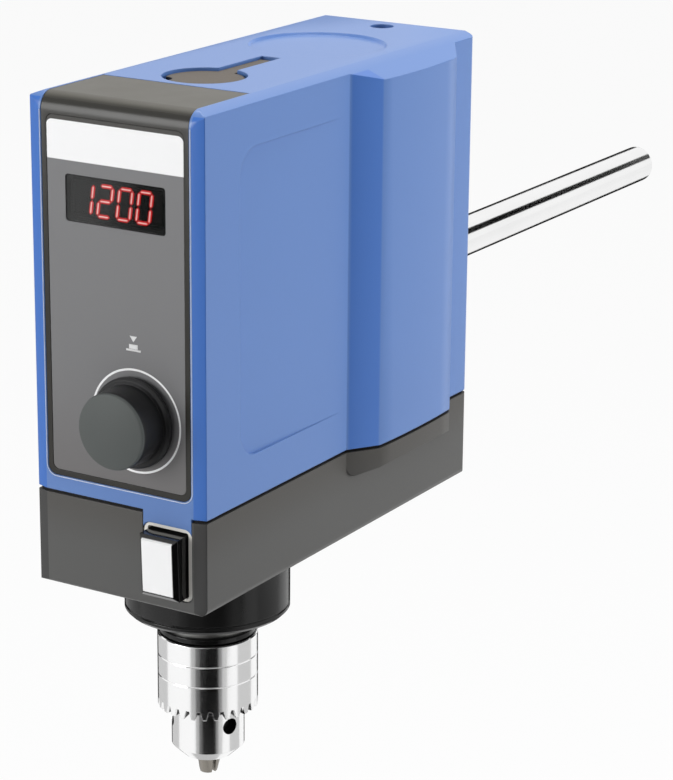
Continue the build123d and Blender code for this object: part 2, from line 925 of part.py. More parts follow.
with BuildPart() as control_board:
    with BuildSketch(Plane.XZ.offset(-board_front_y)):
        with Locations((0, board_middle_z)):
            Rectangle(2 * board_half_width, board_height)
            with GridLocations(2 * post_x, board_height - 2 * post_margin, 2, 2):
                Circle(m3_radius, mode=Mode.SUBTRACT)
    extrude(amount=-board_thickness)
    # Driver chip and pin header on the back
    with BuildSketch(Plane.XZ.offset(-board_front_y - board_thickness)):
        with Locations((0, board_middle_z + chip_above_middle)):
            Rectangle(chip_side, chip_side)
        with Locations((header_inset - board_half_width, base_bottom + board_low + header_rise)):
            Rectangle(header_width, header_height)
    extrude(amount=-chip_height)
control_board.part.label = "control_board"

# Push encoder behind the panel
encoder_front = inner_front_y + encoder_behind_wall
encoder_cavity_front = encoder_front + encoder_wall
encoder_cavity_back = board_front_y - encoder_wall
with BuildPart() as encoder_body:
    with BuildSketch(Plane.XZ.offset(-encoder_front)):
        with Locations((knob_x, knob_z)):
            RectangleRounded(encoder_side, encoder_side, encoder_corner)
    extrude(amount=encoder_front - board_front_y)
    with BuildSketch(Plane.XZ.offset(-encoder_front)):
        with Locations((knob_x, knob_z)):
            Circle(encoder_bush_radius)
    extrude(amount=encoder_front - front_y - encoder_bush_below_front)
    with BuildSketch(Plane.XZ.offset(-encoder_cavity_front)):
        with Locations((knob_x, knob_z)):
            Circle(encoder_rotor_radius + encoder_rotor_gap)
    extrude(amount=encoder_cavity_front - encoder_cavity_back, mode=Mode.SUBTRACT)
    with BuildSketch(Plane.XZ.offset(-encoder_cavity_front)):
        with Locations((knob_x, knob_z)):
            Circle(encoder_shaft_radius + running_gap)
    extrude(amount=encoder_cavity_front - front_y, mode=Mode.SUBTRACT)
encoder_body.part.label = "encoder_body"

with BuildPart() as encoder_rotor:
    with BuildSketch(Plane.XZ.offset(-encoder_cavity_front - encoder_rotor_gap)):
        with Locations((knob_x, knob_z)):
            Circle(encoder_rotor_radius)
            Circle(encoder_shaft_radius + running_gap, mode=Mode.SUBTRACT)
    extrude(amount=-encoder_rotor_thickness)
encoder_rotor.part.label = "encoder_rotor"


def facing(points, x, z):
    """Turned solid about an axis through the front, from (radius, distance before the spindle) corners."""
    return turned(points).rotate(Axis.X, 90).moved(Location((x, 0, z)))


def ring_points(outer, inner, low, high):
    """Corners of a plain ring."""
    return [(inner, low), (outer, low), (outer, high), (inner, high)]


# Encoder shaft and the speed knob
knob_low = front_to_axis + knob_gap
knob_top = front_to_axis + knob_protrusion
with BuildPart() as encoder_shaft:
    shaft_inner = -encoder_cavity_back + encoder_end_room
    add(
        facing(
            [
                (0, shaft_inner),
                (encoder_shaft_radius, shaft_inner),
                (encoder_shaft_radius, knob_top - knob_wall),
                (0, knob_top - knob_wall),
            ],
            knob_x,
            knob_z,
        )
    )
encoder_shaft.part.label = "encoder_shaft"

with BuildPart() as speed_knob:
    skirt_top = knob_low + knob_skirt_height
    root_radius = knob_radius + knob_draft
    add(
        facing(
            [
                (root_radius - knob_wall, knob_low),
                (knob_skirt_radius, knob_low),
                (knob_skirt_radius, skirt_top - knob_skirt_edge),
                (knob_skirt_radius - knob_skirt_edge, skirt_top),
                (root_radius, skirt_top),
                (knob_radius, knob_top - knob_edge),
                (knob_radius - knob_edge_share * knob_edge, knob_top - knob_edge_share * knob_edge),
                (knob_radius - knob_edge, knob_top),
                (0, knob_top),
                (0, knob_top - knob_wall),
                (encoder_shaft_radius, knob_top - knob_wall),
                (encoder_shaft_radius, knob_low),
                (knob_hub_radius, knob_low),
                (knob_hub_radius, knob_top - knob_wall),
                (root_radius - knob_wall, knob_top - knob_wall),
            ],
            knob_x,
            knob_z,
        )
    )
    # Ribs between hub and rim
    for rib in range(knob_rib_count):
        with BuildSketch(Plane.XZ.offset(knob_low + knob_rib_below)):
            with Locations((knob_x, knob_z)):
                with PolarLocations(
                    (knob_hub_radius + root_radius - knob_wall) / 2,
                    1,
                    start_angle=rib * 360 / knob_rib_count,
                ):
                    Rectangle(root_radius - knob_wall - knob_hub_radius + 2 * knob_rib_root, knob_rib_width)
        extrude(amount=knob_top - knob_wall - knob_low - knob_rib_below)
speed_knob.part.label = "speed_knob"

# Screws of the control board
with BuildPart() as board_screws:
    with BuildSketch(Plane.XZ.offset(-board_front_y - board_thickness)):
        with Locations((0, board_middle_z)):
            with GridLocations(2 * post_x, board_height - 2 * post_margin, 2, 2):
                Circle(m3_head_radius)
    extrude(amount=-m3_head_height)
    with BuildSketch(Plane.XZ.offset(-board_front_y - board_thickness)):
        with Locations((0, board_middle_z)):
            with GridLocations(2 * post_x, board_height - 2 * post_margin, 2, 2):
                Circle(m3_radius)
    extrude(amount=board_thickness + board_screw_length)
    with BuildSketch(Plane.XZ.offset(-board_front_y - board_thickness - m3_head_height)):
        with Locations((0, board_middle_z)):
            with GridLocations(2 * post_x, board_height - 2 * post_margin, 2, 2):
                RegularPolygon(m3_radius * screw_hex_share, 6)
    extrude(amount=m3_head_height * screw_hex_depth_share, mode=Mode.SUBTRACT)
board_screws.part.label = "board_screws"

# Power board standing at the left wall
with BuildPart() as power_board:
    with BuildSketch(Plane.YZ.offset(-power_board_x)):
        with Locations((power_board_front + power_board_length / 2, floor_top_z + power_board_height / 2)):
            Rectangle(power_board_length, power_board_height)
    extrude(amount=board_thickness)
    # Transformer, two capacitors and a heat sink
    parts_plane = Plane.YZ.offset(board_thickness - power_board_x)
    coil_y = power_board_front + coil_column
    with BuildSketch(parts_plane):
        with Locations((coil_y, floor_top_z + coil_rise)):
            RectangleRounded(coil_length, coil_height, coil_corner)
    extrude(amount=coil_depth)
    with BuildSketch(parts_plane):
        capacitor_z = floor_top_z + capacitor_rise + capacitor_step / 2
        with Locations((power_board_front + capacitor_column, capacitor_z)):
            with GridLocations(0, capacitor_step, 1, 2):
                Circle(capacitor_radius)
    extrude(amount=capacitor_depth)
    with BuildSketch(parts_plane):
        with Locations((coil_y, floor_top_z + power_board_height - sink_below_board_top)):
            Rectangle(sink_length, sink_height)
            with GridLocations(sink_slot_pitch, 0, sink_slot_count, 1):
                Rectangle(sink_slot_width, sink_slot_height, mode=Mode.SUBTRACT)
    extrude(amount=sink_depth)
power_board.part.label = "power_board"

# Mains inlet, open to the rear, and its pins
with BuildPart() as mains_inlet:
    with BuildSketch(Plane.XZ.offset(-back_y)):
        with Locations((0, inlet_z)):
            RectangleRounded(inlet_flange_width, inlet_flange_height, inlet_corner)
    extrude(amount=-inlet_flange_thickness)
    with BuildSketch(Plane.XZ.offset(-back_y)):
        with Locations((0, inlet_z)):
            RectangleRounded(inlet_width, inlet_body_height, inlet_corner)
    extrude(amount=inlet_depth)
    with BuildSketch(Plane.XZ.offset(-back_y - inlet_flange_thickness)):
        with Locations((0, inlet_z)):
            RectangleRounded(inlet_width - 2 * inlet_wall, inlet_body_height - 2 * inlet_wall, inlet_corner)
    extrude(amount=inlet_depth + inlet_flange_thickness - inlet_wall, mode=Mode.SUBTRACT)
mains_inlet.part.label = "mains_inlet"

with BuildPart() as inlet_pins:
    with BuildSketch(Plane.XZ.offset(-back_y + inlet_depth - inlet_wall)):
        with Locations(
            (-inlet_pin_spread, inlet_z),
            (0, inlet_z + inlet_pin_raise),
            (inlet_pin_spread, inlet_z),
        ):
            Rectangle(inlet_pin_width, inlet_pin_height)
    extrude(amount=-inlet_pin_length)
inlet_pins.part.label = "inlet_pins"

# Switch frame in the front opening
frame_width = switch_width - 2 * switch_gap
frame_height = switch_height - 2 * switch_gap
pivot_y = front_y + rocker_pivot_depth
with BuildPart() as switch_frame:
    add(
        front_opening(
            frame_width,
            frame_height,
            switch_corner - switch_gap,
            switch_x,
            switch_z,
            switch_below_front,
            switch_depth,
        )
    )
    add(
        front_opening(
            switch_width + 2 * switch_flange,
            switch_height + 2 * switch_flange_rise,
            switch_flange_corner,
            switch_x,
            switch_z,
            base_wall,
            base_wall + switch_flange_depth,
        )
    )
    add(
        front_opening(
            rocker_width + 2 * rocker_gap,
            rocker_height + 2 * rocker_gap,
            rocker_opening_corner,
            switch_x,
            switch_z,
            -cut_margin,
            switch_depth - switch_floor,
        ),
        mode=Mode.SUBTRACT,
    )
    with BuildSketch(Plane.YZ.offset(switch_x)):
        with Locations((pivot_y, switch_z)):
            Circle(rocker_pin_radius + running_gap)
    extrude(amount=switch_width, both=True, mode=Mode.SUBTRACT)
switch_frame.part.label = "switch_frame"

# Rocker with its two journals, tilted at rest
with BuildPart() as switch_rocker:
    with BuildSketch(Plane.XZ.offset(front_to_axis + rocker_proud)) as face:
        with Locations((switch_x, switch_z)):
            Rectangle(rocker_width, rocker_height)
    extrude(amount=-rocker_proud - rocker_pivot_depth - rocker_behind_pivot)
    chamfer(switch_rocker.edges().group_by(Axis.Y)[0], rocker_bevel)
    journal_half = rocker_width / 2 + rocker_gap + rocker_pin_length
    with BuildSketch(Plane.YZ.offset(switch_x)):
        with Locations((pivot_y, switch_z)):
            Circle(rocker_pin_radius)
    extrude(amount=journal_half, both=True)
rocker_axis = Axis((switch_x, pivot_y, switch_z), (1, 0, 0))
switch_rocker.part = switch_rocker.part.rotate(rocker_axis, rocker_rest_tilt)
switch_rocker.part.label = "switch_rocker"

# Bearing collar below the base
collar_low_z = base_bottom - collar_drop
lower_bearing_low = floor_top_z - bearing_width
groove_z = collar_low_z + collar_groove
with BuildPart() as bearing_collar:
    add(
        turned(
            [
                (seal_radius, collar_low_z),
                (collar_radius - collar_edge, collar_low_z),
                (collar_radius, collar_low_z + collar_edge),
                (collar_radius, groove_z),
                (collar_radius - groove_depth, groove_z + groove_depth),
                (collar_radius, groove_z + 2 * groove_depth),
                (collar_radius, base_bottom),
                (collar_spigot_radius, base_bottom),
                (collar_spigot_radius, floor_top_z),
                (bearing_radius, floor_top_z),
                (bearing_radius, lower_bearing_low),
                (collar_lip_radius, lower_bearing_low),
                (collar_lip_radius, collar_low_z + seal_height),
                (seal_radius, collar_low_z + seal_height),
            ]
        )
    )
    with BuildSketch(Plane.XY.offset(collar_low_z)):
        with PolarLocations(collar_screw_distance, 3, start_angle=90):
            Circle(m3_radius + screw_clearance)
    extrude(amount=collar_drop, mode=Mode.SUBTRACT)
    with BuildSketch(Plane.XY.offset(collar_low_z)):
        with PolarLocations(collar_screw_distance, 3, start_angle=90):
            Circle(m3_head_radius + screw_clearance)
    extrude(amount=collar_counterbore, mode=Mode.SUBTRACT)
bearing_collar.part.label = "bearing_collar"

with BuildPart() as shaft_seal:
    seal_bore = spindle_radius + running_gap
    add(
        turned(
            [
                (seal_bore, collar_low_z),
                (seal_radius, collar_low_z),
                (seal_radius, collar_low_z + seal_height),
                (seal_bore + seal_lip, collar_low_z + seal_height),
                (seal_bore + seal_lip, collar_low_z + seal_lip),
                (seal_bore, collar_low_z + seal_lip),
            ]
        )
    )
shaft_seal.part.label = "shaft_seal"


def bearing(outer, bore, low, width, groove, y):
    """Closed ball bearing with a shield groove in both faces."""
    middle = (outer + bore) / 2
    half = (outer - bore) / 5
    return turned(
        [
            (bore, low),
            (middle - half, low),
            (middle - half, low + groove),
            (middle + half, low + groove),
            (middle + half, low),
            (outer, low),
            (outer, low + width),
            (middle + half, low + width),
            (middle + half, low + width - groove),
            (middle - half, low + width - groove),
            (middle - half, low + width),
            (bore, low + width),
        ],
        0,
        y,
    )


upper_bearing_low = arm_low_z + arm_lip
with BuildPart() as spindle_bearings:
    spindle_bore = spindle_radius + running_gap
    for low_z in (lower_bearing_low, upper_bearing_low):
        add(bearing(bearing_radius, spindle_bore, low_z, bearing_width, bearing_face_groove, 0))
spindle_bearings.part.label = "spindle_bearings"

# Chassis: floor plate, motor drum, rear spine and bearing arm
motor_low_z = base_bottom + motor_low
with BuildPart() as chassis:
    with BuildSketch(Plane.XY.offset(floor_top_z)):
        with Locations((0, (chassis_front + chassis_back) / 2)):
            Rectangle(2 * chassis_half_width, chassis_back - chassis_front)
    extrude(amount=plate_thickness)
    fillet(chassis.edges().filter_by(Axis.Z), chassis_corner)
    with BuildSketch(Plane.XY.offset(floor_top_z)):
        with Locations((0, spine_y + spine_thickness / 2)):
            Rectangle(2 * spine_half_width, spine_thickness)
    extrude(amount=arm_top_z - floor_top_z)
    with BuildSketch(Plane.XY.offset(arm_low_z)):
        with Locations((0, spine_y / 2)):
            Rectangle(2 * arm_half_width, spine_y)
        Circle(bearing_radius + bearing_boss_wall)
        with Locations((0, motor_y)):
            Rectangle(arm_window_width, arm_window_length, mode=Mode.SUBTRACT)
    extrude(amount=arm_top_z - arm_low_z)
    # Stiffening web below the arm, against the spine
    with BuildSketch(Plane.YZ):
        with BuildLine():
            Polyline(
                (spine_y, arm_low_z),
                (spine_y - web_reach, arm_low_z),
                (spine_y, arm_low_z - web_drop),
                close=True,
            )
        make_face()
    extrude(amount=web_half_width, both=True)
    # Motor drum with its top plate
    add(upright_cylinder(0, motor_y, drum_radius, plate_top_z, motor_low_z))
    add(upright_cylinder(0, motor_y, drum_flange_radius, motor_low_z - drum_flange_height, motor_low_z))
    drum_roof = motor_low_z - drum_flange_height
    add(
        upright_cylinder(0, motor_y, drum_radius - drum_wall, floor_top_z, drum_roof),
        mode=Mode.SUBTRACT,
    )
    with BuildSketch(Plane.XY.offset(drum_roof)):
        with Locations((0, motor_y)):
            with PolarLocations(motor_screw_distance, 4, start_angle=45):
                Circle(m4_radius + screw_clearance)
    extrude(amount=drum_flange_height, mode=Mode.SUBTRACT)
    with BuildSketch(Plane.XZ.offset(-motor_y)):
        with Locations((0, (plate_top_z + drum_roof) / 2)):
            window_rise = drum_roof - plate_top_z - 2 * drum_window_margin
            RectangleRounded(drum_window_width, window_rise, drum_window_corner)
    extrude(amount=drum_radius + cut_margin, mode=Mode.SUBTRACT)
    # Spindle holes, bearing seat, inlet cut-out
    plate_hole_radius = spindle_radius + plate_hole_gap
    add(upright_cylinder(0, 0, plate_hole_radius, floor_top_z, plate_top_z), mode=Mode.SUBTRACT)
    add(upright_cylinder(0, 0, bearing_radius - bearing_shoulder, arm_low_z, arm_top_z), mode=Mode.SUBTRACT)
    add(upright_cylinder(0, 0, bearing_radius, upper_bearing_low, arm_top_z), mode=Mode.SUBTRACT)
    with BuildSketch(Plane.XZ.offset(-spine_y)):
        with Locations((0, (floor_top_z + inlet_z + inlet_flange_height / 2) / 2)):
            Rectangle(inlet_flange_width, inlet_z + inlet_flange_height / 2 - floor_top_z)
    extrude(amount=-spine_thickness, mode=Mode.SUBTRACT)
    with BuildSketch(Plane.XY.offset(floor_top_z)):
        with PolarLocations(collar_screw_distance, 3, start_angle=90):
            Circle(m3_radius)
    extrude(amount=collar_screw_depth, mode=Mode.SUBTRACT)
    # Rod boss and its socket, crown screw hole
    with BuildSketch(Plane.XZ.offset(-spine_back_y)):
        with Locations((0, rod_z)):
            Circle(rod_boss_radius)
    extrude(amount=spine_back_y - back_y + rod_boss_below_skin)
    with BuildSketch(Plane.XZ.offset(-back_y)):
        with Locations((0, rod_z)):
            Circle(rod_spigot_radius)
    extrude(amount=back_y - spine_y, mode=Mode.SUBTRACT)
    add(
        upright_cylinder(0, crown_screw_y, m4_radius, arm_top_z - crown_screw_depth, arm_top_z),
        mode=Mode.SUBTRACT,
    )
chassis.part.label = "chassis"

# Motor
motor_top_z = motor_low_z + motor_height
bell_top_z = motor_top_z + end_bell_height
hub_top_z = motor_low_z + motor_floor + motor_bearing_width
with BuildPart() as motor_can:
    add(
        turned(
            [
                (motor_shaft_radius + motor_shaft_hole_gap, motor_low_z),
                (motor_radius, motor_low_z),
                (motor_radius, motor_top_z),
                (motor_radius - motor_wall, motor_top_z),
                (motor_radius - motor_wall, motor_low_z + motor_floor),
                (motor_bearing_radius + motor_hub_wall, motor_low_z + motor_floor),
                (motor_bearing_radius + motor_hub_wall, hub_top_z),
                (motor_bearing_radius, hub_top_z),
                (motor_bearing_radius, motor_low_z + motor_floor),
                (motor_shaft_radius + motor_shaft_hole_gap, motor_low_z + motor_floor),
            ],
            0,
            motor_y,
        )
    )
    with BuildSketch(Plane.XY.offset(motor_low_z)):
        with Locations((0, motor_y)):
            with PolarLocations(motor_screw_distance, 4, start_angle=45):
                Circle(m4_radius)
    extrude(amount=motor_floor, mode=Mode.SUBTRACT)
motor_can.part.label = "motor_can"

bell_bearing_low = motor_top_z
bell_bearing_top = bell_bearing_low + motor_bearing_width
with BuildPart() as motor_end_bell:
    add(
        turned(
            [
                (motor_bearing_radius, motor_top_z),
                (motor_radius, motor_top_z),
                (motor_radius, motor_top_z + end_bell_height / 2),
                (motor_radius - bell_slope, bell_top_z - bell_step),
                (motor_bearing_radius + motor_hub_wall, bell_top_z - bell_step),
                (motor_bearing_radius + motor_hub_wall, bell_top_z),
                (motor_shaft_radius + motor_shaft_hole_gap, bell_top_z),
                (motor_shaft_radius + motor_shaft_hole_gap, bell_bearing_top),
                (motor_bearing_radius, bell_bearing_top),
            ],
            0,
            motor_y,
        )
    )
    with BuildSketch(Plane.XY.offset(motor_top_z)):
        with Locations((0, motor_y)):
            with PolarLocations(bell_vent_distance, bell_vent_count):
                SlotOverall(bell_vent_length, bell_vent_width)
    extrude(amount=end_bell_height, mode=Mode.SUBTRACT)
motor_end_bell.part.label = "motor_end_bell"

stator_low_z = motor_low_z + stator_setback / 2 + stator_lift
with BuildPart() as motor_stator:
    bore_radius = rotor_radius + air_gap
    stator_radius = motor_radius - motor_wall
    with BuildSketch(Plane.XY.offset(stator_low_z)):
        with Locations((0, motor_y)):
            Circle(stator_radius)
            Circle(bore_radius, mode=Mode.SUBTRACT)
            slot_length = stator_radius - stator_yoke - bore_radius
            with PolarLocations(bore_radius + slot_length / 2, stator_slots):
                Rectangle(slot_length + cut_margin, stator_slot_width, mode=Mode.SUBTRACT)
    extrude(amount=stator_height)
motor_stator.part.label = "motor_stator"

with BuildPart() as motor_bearings:
    motor_bore = motor_shaft_radius + running_gap
    for low_z in (motor_low_z + motor_floor, bell_bearing_low):
        add(bearing(motor_bearing_radius, motor_bore, low_z, motor_bearing_width, shield_groove, motor_y))
motor_bearings.part.label = "motor_bearings"

with BuildPart() as motor_screws:
    with BuildSketch(Plane.XY.offset(drum_roof - m4_head_height)):
        with Locations((0, motor_y)):
            with PolarLocations(motor_screw_distance, 4, start_angle=45):
                Circle(m4_head_radius)
    extrude(amount=m4_head_height)
    with BuildSketch(Plane.XY.offset(drum_roof)):
        with Locations((0, motor_y)):
            with PolarLocations(motor_screw_distance, 4, start_angle=45):
                Circle(m4_radius)
    extrude(amount=drum_flange_height + motor_floor)
    with BuildSketch(Plane.XY.offset(drum_roof - m4_head_height)):
        with Locations((0, motor_y)):
            with PolarLocations(motor_screw_distance, 4, start_angle=45):
                RegularPolygon(m4_radius * screw_hex_share, 6)
    extrude(amount=m4_head_height * screw_hex_depth_share, mode=Mode.SUBTRACT)
motor_screws.part.label = "motor_screws"

# Motor shaft, rotor core and the belt pulleys
pulley_half = belt_width / 2 + belt_side_gap
pulley_low_z = belt_z - pulley_half - pulley_flange_thickness
pulley_top_z = belt_z + pulley_half + pulley_flange_thickness
with BuildPart() as motor_shaft:
    add(
        turned(
            [
                (0, motor_low_z + motor_floor),
                (motor_shaft_radius, motor_low_z + motor_floor),
                (motor_shaft_radius, pulley_top_z - shaft_end_edge),
                (motor_shaft_radius - shaft_end_edge, pulley_top_z),
                (0, pulley_top_z),
            ],
            0,
            motor_y,
        )
    )
motor_shaft.part.label = "motor_shaft"

with BuildPart() as motor_rotor:
    rotor_low_z = stator_low_z + rotor_setback
    rotor_top_z = rotor_low_z + rotor_height
    add(turned(ring_points(rotor_radius, motor_shaft_radius, rotor_low_z, rotor_top_z), 0, motor_y))
motor_rotor.part.label = "motor_rotor"


def pulley(radius, bore, hub, y):
    """Flat belt pulley with two flanges and a thin web."""
    flange = radius + pulley_flange
    rim = radius - pulley_rim
    web_low = belt_z - pulley_web / 2
    web_top = belt_z + pulley_web / 2
    low = belt_z - pulley_half
    top = belt_z + pulley_half
    return turned(
        [
            (bore, pulley_low_z),
            (hub, pulley_low_z),
            (hub, web_low),
            (rim, web_low),
            (rim, pulley_low_z),
            (flange, pulley_low_z),
            (flange, low),
            (radius, low),
            (radius, top),
            (flange, top),
            (flange, pulley_top_z),
            (rim, pulley_top_z),
            (rim, web_top),
            (hub, web_top),
            (hub, pulley_top_z),
            (bore, pulley_top_z),
        ],
        0,
        y,
    )


with BuildPart() as motor_pulley:
    low = belt_z - pulley_half
    top = belt_z + pulley_half
    flange = motor_pulley_radius + pulley_flange
    add(
        turned(
            [
                (motor_shaft_radius, pulley_low_z),
                (flange, pulley_low_z),
                (flange, low),
                (motor_pulley_radius, low),
                (motor_pulley_radius, top),
                (flange, top),
                (flange, pulley_top_z),
                (motor_shaft_radius, pulley_top_z),
            ],
            0,
            motor_y,
        )
    )
motor_pulley.part.label = "motor_pulley"

with BuildPart() as spindle_pulley:
    pulley_hub = spindle_radius + pulley_hub_wall
    add(pulley(spindle_pulley_radius, spindle_radius, pulley_hub, 0))
    web_middle = (pulley_hub + spindle_pulley_radius - pulley_rim) / 2
    with BuildSketch(Plane.XY.offset(belt_z)):
        with PolarLocations(web_middle, pulley_hole_count):
            Circle(pulley_hole_radius)
    extrude(amount=pulley_web, both=True, mode=Mode.SUBTRACT)
spindle_pulley.part.label = "spindle_pulley"


def belt_outline(grow):
    """Closed outline round both pulleys, grow outside their belt faces."""
    large = spindle_pulley_radius + grow
    small = motor_pulley_radius + grow
    lean = asin((large - small) / motor_y)
    with BuildSketch() as outline:
        Circle(large)
        with Locations((0, motor_y)):
            Circle(small)
        with BuildLine():
            Polyline(
                (large * cos(lean), large * sin(lean)),
                (small * cos(lean), motor_y + small * sin(lean)),
                (-small * cos(lean), motor_y + small * sin(lean)),
                (-large * cos(lean), large * sin(lean)),
                close=True,
            )
        make_face()
    return outline.sketch


with BuildPart() as drive_belt:
    with BuildSketch(Plane.XY.offset(belt_z - belt_width / 2)):
        add(belt_outline(belt_gap + belt_thickness))
        add(belt_outline(belt_gap), mode=Mode.SUBTRACT)
    extrude(amount=belt_width)
drive_belt.part.label = "drive_belt"

# Guide tube under the lid
spindle_top_z = arm_top_z + spindle_above_arm
pocket_floor_z = top_z - pocket_depth
with BuildPart() as shaft_guide:
    guide_bore = shaft_bore_radius + guide_bore_gap
    add(
        turned(
            [
                (guide_bore, spindle_top_z + guide_gap),
                (guide_radius, spindle_top_z + guide_gap),
                (guide_radius, pocket_floor_z),
                (guide_rim_radius, pocket_floor_z),
                (guide_rim_radius, pocket_floor_z + guide_rim_height),
                (guide_bore, pocket_floor_z + guide_rim_height),
            ]
        )
    )
shaft_guide.part.label = "shaft_guide"

# Support rod
with BuildPart() as support_rod:
    rod_start = back_y - rod_boss_below_skin
    with BuildSketch(Plane.XZ.offset(-rod_start)):
        with Locations((0, rod_z)):
            Circle(rod_radius)
    extrude(amount=rod_start - back_y - rod_length)
    fillet(support_rod.edges().group_by(Axis.Y)[-1], rod_end_edge)
    with BuildSketch(Plane.XZ.offset(-rod_start)):
        with Locations((0, rod_z)):
            Circle(rod_spigot_radius)
    extrude(amount=rod_start - spine_y)
support_rod.part.label = "support_rod"

# Lid over the shaft opening, with its hinge pin
with BuildPart() as lid_pin:
    with BuildSketch(Plane.YZ):
        with Locations((hinge_y, hinge_z)):
            Circle(lid_pin_radius)
    extrude(amount=slot_width / 2 + lid_pin_engagement, both=True)
lid_pin.part.label = "lid_pin"

with BuildPart() as shaft_lid:
    tongue_half = slot_width / 2 - lid_side_gap
    with BuildSketch(Plane.XY.offset(lid_top_z - lid_thickness)):
        add(lid_plan(pocket_radius - lid_gap, 2 * tongue_half, hinge_y))
    extrude(amount=lid_thickness)
    with BuildSketch(Plane.YZ):
        with Locations((hinge_y, hinge_z)):
            Circle(lid_barrel_radius)
    extrude(amount=tongue_half, both=True)
    with BuildSketch(Plane.YZ):
        with Locations((hinge_y, hinge_z)):
            Circle(lid_pin_radius + running_gap)
    extrude(amount=slot_width, both=True, mode=Mode.SUBTRACT)
    notch_distance = pocket_radius - lid_gap + lid_notch_radius - lid_notch_depth
    with BuildSketch(Plane.XY.offset(lid_top_z)):
        with PolarLocations(notch_distance, 1, start_angle=lid_notch_angle):
            Circle(lid_notch_radius)
    extrude(amount=-lid_thickness, mode=Mode.SUBTRACT)
shaft_lid.part.label = "shaft_lid"

# Hollow spindle with its flange and splash ring
chuck_top_z = flange_low_z
with BuildPart() as spindle:
    add(
        turned(
            [
                (shaft_bore_radius, chuck_top_z - spindle_stub_length),
                (spindle_stub_radius, chuck_top_z - spindle_stub_length),
                (spindle_stub_radius, chuck_top_z),
                (spindle_radius, chuck_top_z),
                (spindle_radius, spindle_top_z - shaft_end_edge),
                (spindle_radius - shaft_end_edge, spindle_top_z),
                (shaft_bore_radius + bore_lead_in, spindle_top_z),
                (shaft_bore_radius, spindle_top_z - bore_lead_in),
            ]
        )
    )
spindle.part.label = "spindle"

with BuildPart() as spindle_flange:
    add(
        turned(
            [
                (spindle_radius, flange_low_z),
                (flange_radius, flange_low_z),
                (flange_radius, flange_top_z - flange_edge),
                (flange_radius - flange_edge, flange_top_z),
                (spindle_radius, flange_top_z),
            ]
        )
    )
spindle_flange.part.label = "spindle_flange"

with BuildPart() as splash_ring:
    add(
        turned(
            [
                (chuck_neck_radius, splash_low_z),
                (splash_ring_radius - flange_edge, splash_low_z),
                (splash_ring_radius, splash_low_z + flange_edge),
                (splash_ring_radius, flange_low_z - flange_edge),
                (splash_ring_radius - flange_edge, flange_low_z),
                (chuck_neck_radius, flange_low_z),
            ]
        )
    )
splash_ring.part.label = "splash_ring"

# Jaw axis: it leans outwards from where it crosses the chuck axis
lean_tan = tan(radians(jaw_slope))
lean_cos = cos(radians(jaw_slope))
lean_sin = sin(radians(jaw_slope))
cross_z = jaw_tip_z - (jaw_tip_radius - jaw_radius / lean_cos) / lean_tan
jaw_plane = Plane(origin=(0, 0, cross_z), x_dir=(0, 1, 0), z_dir=(lean_sin, 0, lean_cos))


def jaw_cylinder(radius, start, end):
    """Leaning cylinder in the direction of +X, start and end measured from the crossing point."""
    with BuildPart() as rod:
        with BuildSketch(jaw_plane.offset(start)):
            Circle(radius)
        extrude(amount=end - start)
    return rod.part


with BuildPart() as chuck_body:
    groove_low_z = nut_low_z - body_gap
    groove_top_z = nut_top_z + body_gap
    add(
        turned(
            [
                (shaft_bore_radius, nose_z),
                (nose_radius, nose_z),
                (chuck_body_radius, base_bottom - chamfer_below_base),
                (chuck_body_radius, groove_low_z),
                (nut_groove_radius, groove_low_z),
                (nut_groove_radius, groove_top_z),
                (chuck_neck_radius, groove_top_z),
                (chuck_neck_radius, chuck_top_z),
                (spindle_stub_radius, chuck_top_z),
                (spindle_stub_radius, chuck_top_z - spindle_stub_length),
                (shaft_bore_radius, chuck_top_z - spindle_stub_length),
            ]
        )
    )
    jaw_bore = jaw_cylinder(jaw_radius + jaw_bore_gap, -jaw_radius, jaw_length + jaw_bore_rise)
    key_z = base_bottom - key_hole_below_base
    for turn in range(3):
        add(jaw_bore.rotate(Axis.Z, jaw_angle + 120 * turn), mode=Mode.SUBTRACT)
        polar = radians(key_hole_angle + 120 * turn)
        outward = (cos(polar), sin(polar), 0)
        with BuildSketch(Plane(origin=(0, 0, key_z), z_dir=outward).offset(chuck_body_radius + cut_margin)):
            Circle(key_hole_radius)
        extrude(amount=-key_hole_depth - cut_margin, mode=Mode.SUBTRACT)
chuck_body.part.label = "chuck_body"

